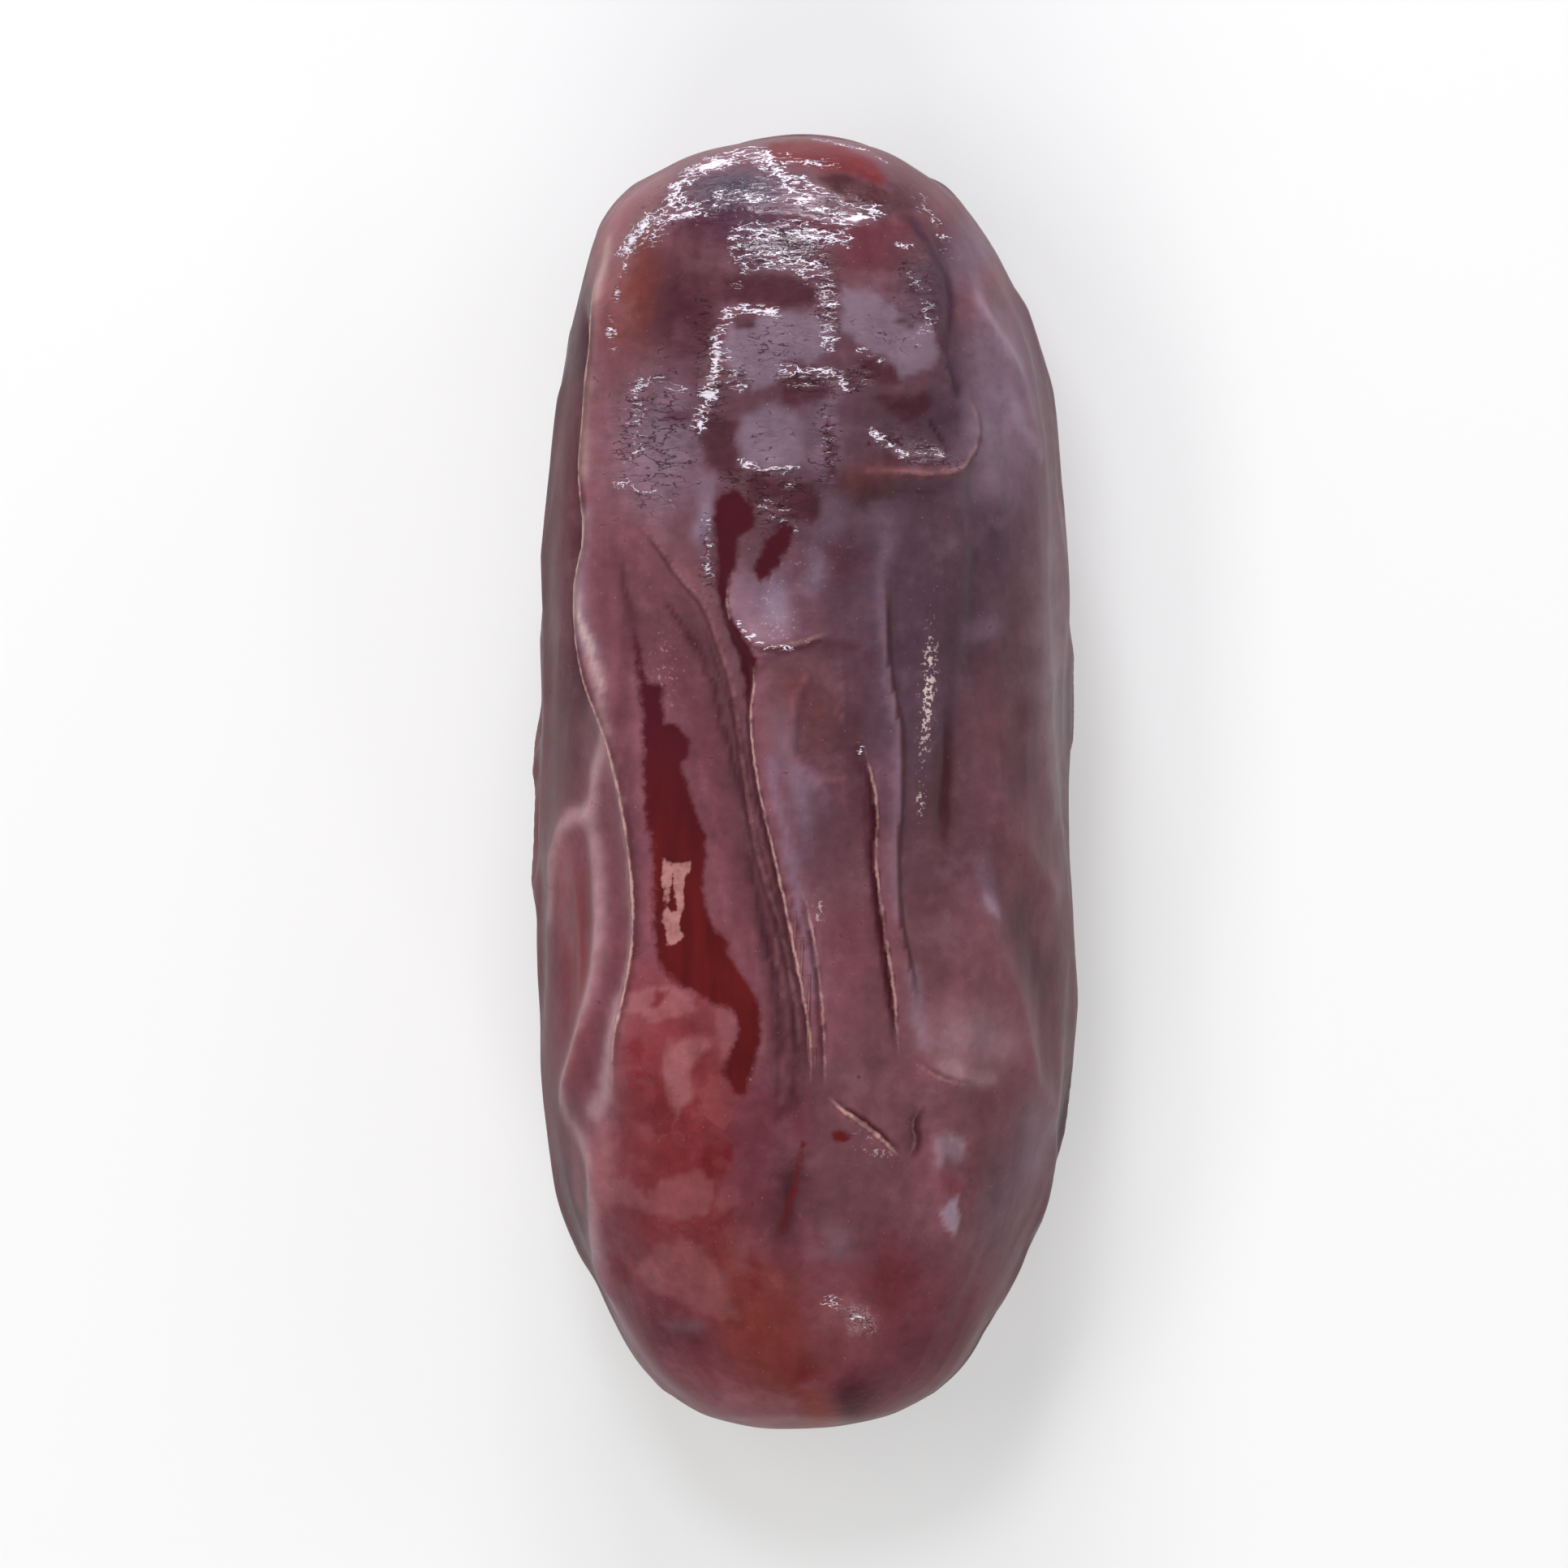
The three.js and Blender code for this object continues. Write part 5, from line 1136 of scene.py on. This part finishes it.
# The skin's finish. The colours are as they look on a screen. A noise is how places are stretched for it,
# its scale, its detail and its roughness, and a range is where a mask starts and where it is whole.
skinFinish = {
    # The pool's colour is a painted reflection, the crests' pale tops partly a painted highlight, their feet
    # painted shade, the bloom partly a painted sheen, and the glints painted.
    "colours": {
        "wet": (84, 39, 41), "wetLight": (100, 42, 42), "wetUpper": (76, 40, 46), "pool": (176, 126, 124),
        "paleCrestAndHighlight": (194, 158, 150), "footShade": (64, 30, 38), "bloomAndSheen": (134, 106, 118), "dust": (190, 166, 168),
        "torn": (62, 36, 46), "paintedGlint": (226, 218, 230), "speck": (196, 178, 174),
        "hazy": (158, 92, 94), "deep": (92, 28, 32),
    },
    "stretches": {
        "even": (1, 1, 1),
        "lengthwise": (1.6, 0.35, 1.6),
        "crosswise": (1.3, 3.4, 1.6),
        "finer": (1.5, 4.6, 2),
    },
    "noises": {
        "cloud": ("even", 0.5, 4, 0.55),
        "patchy": ("even", 1.7, 3, 0.6),
        "ragged": ("even", 2.6, 4, 0.65),
        "pebble": ("even", 3.2, 3, 0.5),
        "grit": ("even", 6.5, 2, 0.6),
        "dust": ("even", 9, 1, 0.5),
        "streak": ("lengthwise", 1, 2, 0.5),
        "flakes": ("crosswise", 1, 4, 0.55),
        "waves": ("finer", 1, 3, 0.6),
        "tatter": ("finer", 0.6, 3, 0.6),
    },
    "ranges": {
        "wet": (-0.1, 0.18), "pool": (-0.05, 0.04), "wetStreak": (-0.2, 0.2), "wetUpper": (-6, 5),
        "crackLine": (0.008, 0.035), "torn": (0.8, 1), "flakeLine": (0.01, 0.045), "paintedGlint": (0.82, 1.05),
        "glintZone": (0.05, 0.2), "glintBloom": (0, 0.12), "top": (0.15, 0.75), "cloud": (-0.2, 0.2),
        "bloomAndSheen": (0.02, 0.28), "hazy": (0, 0.9), "deep": (0, -0.9), "dust": (0.24, 0.3),
        "speck": (0.16, 0.2), "footShade": (0.1, 0.34), "paleCrestAndHighlight": (-0.14, 0.1),
    },
    "patches": {"bend": 1.6, "bendScale": 0.8, "large": (0.62, 0.5), "small": (1.5, 0.4)},
    "relief": {"torn": -0.05, "paintedGlint": 0.03, "cracked": 0.16, "pebble": 0.03, "streak": 0.015},
    "dull": {"roughness": 0.4, "uneven": 0.25, "specular": 0.12},
    "glazed": {"roughness": 0.12, "uneven": 0.15, "specular": 0.6},
    "poolCoat": 0.3,
    "fixed": {
        "Coat Roughness": 0.08, "Coat IOR": 1.45, "IOR": 1.42,
        "Subsurface Weight": 0.2, "Subsurface Radius": (1, 0.25, 0.12), "Subsurface Scale": 0.9 * mm,
    },
}
ranges = skinFinish["ranges"]


def screenColour(name):
    return (*[float(v) for v in beneathGloss(skinFinish["colours"][name])], 1.0)


def skinMasks(bench, noise, trait):
    def middleLine(value, low, high):
        # a thin line where a stretched noise crosses its middle value
        return 1 - bench.ease(abs(value), low, high)

    normal = bench.add("ShaderNodeNewGeometry", output="Normal")
    facing = bench.add("ShaderNodeSeparateXYZ", {}, {0: normal}, "Z")
    wetEdge = noise.ragged * 0.5 + noise.tatter * trait.cracks * 1.1
    wet = bench.ease(trait.wetDepth + wetEdge, *ranges["wet"])
    crack = middleLine(noise.flakes, *ranges["crackLine"]) * 0.6 + trait.cracks * 0.6 + noise.patchy * 1.4
    paintedGlint = middleLine(noise.waves, *ranges["flakeLine"]) * 0.6 + trait.glints * 0.9 + noise.tatter * 1.8
    return SimpleNamespace(
        wet=wet,
        torn=bench.ease(crack, *ranges["torn"]) * (1 - wet),
        paintedGlint=bench.ease(paintedGlint, *ranges["paintedGlint"]) * bench.ease(trait.glints, *ranges["glintZone"]),
        pool=bench.ease(trait.pool + noise.ragged * 0.3, *ranges["pool"]),
        top=bench.ease(facing, *ranges["top"]),
    )


def angularPatches(bench, where):
    # thinner and thicker skin in large and small cells with bent edges
    patches = skinFinish["patches"]
    bend = bench.noise(where, patches["bendScale"], 2, output="Color")
    bent = bench.add("ShaderNodeVectorMath", {"operation": "MULTIPLY_ADD"}, {
        0: bend, 1: (patches["bend"],) * 3, 2: where})
    shades = []
    for scale, share in (patches["large"], patches["small"]):
        sockets = {"Vector": bent, "Scale": scale}
        cell = bench.add("ShaderNodeTexVoronoi", {"feature": "F1"}, sockets, "Color")
        shades.append((bench.add("ShaderNodeSeparateColor", {}, {0: cell}) - 0.5) * share)
    return shades[0] + shades[1]


def crestCovers(bench, noise):
    # the painted shade at the foot and the pale top, part paler dry skin and part painted highlight, of the
    # crests in each layer
    covers = []
    for name in ("crestsA", "crestsB"):
        line, width = bench.trait(name, ("Color", "Alpha"))
        aside, pale, footShade = bench.add("ShaderNodeSeparateColor", {}, {0: line}, (0, 1, 2))
        away = abs(aside + noise.ragged * 0.16)
        paleCrestAndHighlight = pale * (1 - bench.ease(away, width * 0.3, width * 1.6 + 0.03))
        covers.append(("footShade", footShade * (1 - bench.ease(away, *ranges["footShade"]))))
        covers.append(("paleCrestAndHighlight", paleCrestAndHighlight * (0.25 + bench.ease(noise.patchy, *ranges["paleCrestAndHighlight"]) * 0.75)))
    return covers


def drySkin(bench, noise, trait, mask, where):
    marble = trait.marbled * angularPatches(bench, where)
    mottle = noise.streak * (mask.top * 0.25 + 0.1) + noise.patchy * 0.5 + noise.pebble * 0.3
    mottle = mottle + (noise.waves + noise.flakes) * trait.cracks * 0.9
    shade = 0.9 + bench.ease(noise.cloud, *ranges["cloud"]) * 0.2 + mottle
    grey = bench.add("ShaderNodeCombineColor", {}, {0: shade, 1: shade, 2: shade})
    colour = bench.mix(1, bench.trait("skinColour", "Color"), grey, "MULTIPLY")
    # a painted sheen round the painted glints
    nearGlints = bench.ease(noise.waves + trait.glints * 0.1, *ranges["glintBloom"]) * trait.glints
    for name, cover in [
        # waxy bloom in clouds, partly a painted sheen
        ("bloomAndSheen", bench.ease(noise.cloud + noise.patchy * 0.4, *ranges["bloomAndSheen"]) * 0.18),
        ("hazy", bench.ease(marble, *ranges["hazy"]) * 0.6),
        ("deep", bench.ease(marble, *ranges["deep"]) * 0.7),
        ("dust", bench.ease(noise.dust, *ranges["dust"]) * 0.2),
        ("speck", bench.ease(noise.grit + trait.specks * 0.19, *ranges["speck"]) * trait.specks),
        *crestCovers(bench, noise),
        ("torn", mask.torn * 0.8),
        ("bloomAndSheen", nearGlints * 0.35),
        # the painted glints
        ("paintedGlint", mask.paintedGlint),
    ]:
        colour = bench.mix(cover, colour, screenColour(name))
    return colour


def wetSkin(bench, noise, mask, where):
    y = bench.add("ShaderNodeSeparateXYZ", {}, {0: where}, "Y")
    colour = screenColour("wet")
    for name, cover in [
        ("wetLight", bench.ease(noise.streak, *ranges["wetStreak"])),
        ("wetUpper", bench.ease(y, *ranges["wetUpper"])),
        # the pale painted reflection of the window in the pool
        ("pool", mask.pool * (0.75 + noise.ragged * 1.2)),
    ]:
        colour = bench.mix(cover, colour, screenColour(name))
    return colour


def skinMaterial():
    material = bpy.data.materials.new("wet wrinkled date skin")
    bench = Bench(material)
    where = bench.stretch(bench.add("ShaderNodeTexCoord", output="Object"), (1 / mm,) * 3)
    # each noise runs from about -0.5 to 0.5
    noise = SimpleNamespace(**{
        name: bench.noise(bench.stretch(where, skinFinish["stretches"][stretch]), *look) - 0.5
        for name, (stretch, *look) in skinFinish["noises"].items()})
    trait = SimpleNamespace(**{
        name: bench.trait(name) for name in ("cracks", "marbled", "specks", "glints", "wetDepth", "pool")})
    mask = skinMasks(bench, noise, trait)
    dry, wet = drySkin(bench, noise, trait, mask, where), wetSkin(bench, noise, mask, where)
    colour = bench.mix(mask.wet, dry, wet)

    relief = skinFinish["relief"]
    grain = noise.pebble * (1 - mask.wet) * relief["pebble"] + noise.streak * relief["streak"]
    height = mask.torn * relief["torn"] + mask.paintedGlint * relief["paintedGlint"]
    height = height + noise.flakes * trait.cracks * relief["cracked"] + grain * mask.top
    normal = bench.add("ShaderNodeBump", {}, {"Strength": 1, "Distance": mm, "Height": height})

    def layer(kind, coat):
        return bench.add("ShaderNodeBsdfPrincipled", {}, {
            "Base Color": colour,
            "Roughness": kind["roughness"] + noise.patchy * kind["uneven"],
            "Specular IOR Level": kind["specular"],
            "Coat Weight": coat,
            "Normal": normal,
            **skinFinish["fixed"],
        })

    dull = layer(skinFinish["dull"], mask.pool * skinFinish["poolCoat"])
    glazed = layer(skinFinish["glazed"], 0)
    surface = bench.add("ShaderNodeMixShader", {}, {0: trait.cracks * (1 - mask.wet), 1: dull, 2: glazed})
    bench.add("ShaderNodeOutputMaterial", {}, {"Surface": surface})
    return material


fruit = buildFruit()
fruit.data.materials.append(skinMaterial())
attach(fruit, "root")
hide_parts("date_fruit")
print("date built:", len(fruit.data.polygons), "faces")


# The pale table and the lamps. Each lamp is where it stands, its size, its watts and its colour. The skin
# mirrors the windows and the glint, and the others only light it.
table = {"size": 3.0, "colour": (0.4, 0.4, 0.4), "roughness": 0.9, "glow": 0.3}
lamps = {
    "window": ((-0.02, 0.335, 0.18), (0.14, 0.07), 1.15, (0.98, 0.95, 1.0)),
    "lowWindow": ((0.04, 0.37, 0.06), (0.26, 0.06), 0.7, (0.98, 0.95, 1.0)),
    "overhead": ((-0.055, 0.15, 0.35), (0.08, 0.07), 0.5, (0.97, 0.98, 1.0)),
    "leftPanel": ((-0.18, 0.03, 0.33), (0.20, 0.08), 0.4, (1.0, 0.99, 0.98)),
    "rightPanel": ((0.30, 0.12, 0.20), (0.24, 0.30), 0.28, (0.95, 0.97, 1.0)),
    "tipGlint": ((0.14, -0.32, 0.19), (0.05, 0.04), 0.16, (1.0, 0.98, 0.96)),
    "tipFill": ((-0.04, -0.28, 0.30), (0.34, 0.26), 1.1, (1.0, 0.97, 0.95)),
}
lampAim = (0, 0, 0.008)
mirrored = {"window", "lowWindow", "tipGlint"}
surroundings = {
    "colour": (0.97, 0.98, 1.0, 1.0), "level": 0.36, "overhead": 0.12, "overheadFrom": (0.35, 0.95),
}
camera = {
    "lens": 700.0, "sensor": 36.0, "frameWidth": 55.84 * mm, "at": (-0.75 * mm, -0.03 * mm), "near": 0.01,
}


def layTable():
    half = table["size"] / 2
    corners = [(-half, -half, 0), (half, -half, 0), (half, half, 0), (-half, half, 0)]
    mesh = bpy.data.meshes.new("table")
    mesh.from_pydata(corners, [], [(0, 1, 2, 3)])
    material = bpy.data.materials.new("pale table")
    bench = Bench(material)
    surface = bench.add("ShaderNodeBsdfPrincipled", {}, {
        "Base Color": (*table["colour"], 1.0), "Roughness": table["roughness"],
        "Emission Color": (1.0, 1.0, 1.0, 1.0), "Emission Strength": table["glow"]})
    bench.add("ShaderNodeOutputMaterial", {}, {"Surface": surface})
    mesh.materials.append(material)
    addObject("table", mesh)


def hangLamps():
    aim = Vector(lampAim)
    for name, (where, size, watts, colour) in lamps.items():
        light = bpy.data.lights.new(name, "AREA")
        light.shape = "RECTANGLE"
        light.size, light.size_y = size
        light.energy = watts
        light.color = colour
        lamp = addObject(name, light, where)
        lamp.rotation_euler = (aim - lamp.location).to_track_quat("-Z", "Y").to_euler()
        lamp.visible_camera = False
        lamp.visible_glossy = name in mirrored


def paintSurroundings():
    world = bpy.data.worlds.new("studio walls")
    bench = Bench(world)
    direction = bench.add("ShaderNodeTexCoord", output="Generated")
    height = bench.add("ShaderNodeSeparateXYZ", {}, {0: direction}, "Z")
    dimming = surroundings["overhead"] - surroundings["level"]
    level = surroundings["level"] + bench.ease(height, *surroundings["overheadFrom"]) * dimming
    glow = bench.add("ShaderNodeBackground", {}, {"Color": surroundings["colour"], "Strength": level})
    bench.add("ShaderNodeOutputWorld", {}, {"Surface": glow})
    bpy.context.scene.world = world


def setCamera():
    lens = bpy.data.cameras.new("camera")
    lens.lens = camera["lens"]
    lens.sensor_width = camera["sensor"]
    lens.clip_start = camera["near"]
    distance = camera["frameWidth"] * camera["lens"] / camera["sensor"]
    where = (*camera["at"], body["axisHeight"] * mm + distance)
    bpy.context.scene.camera = addObject("camera", lens, where)


layTable()
hangLamps()
paintSurroundings()
setCamera()
bpy.context.scene.view_settings.view_transform = "Standard"
print("table, lamps and camera set")
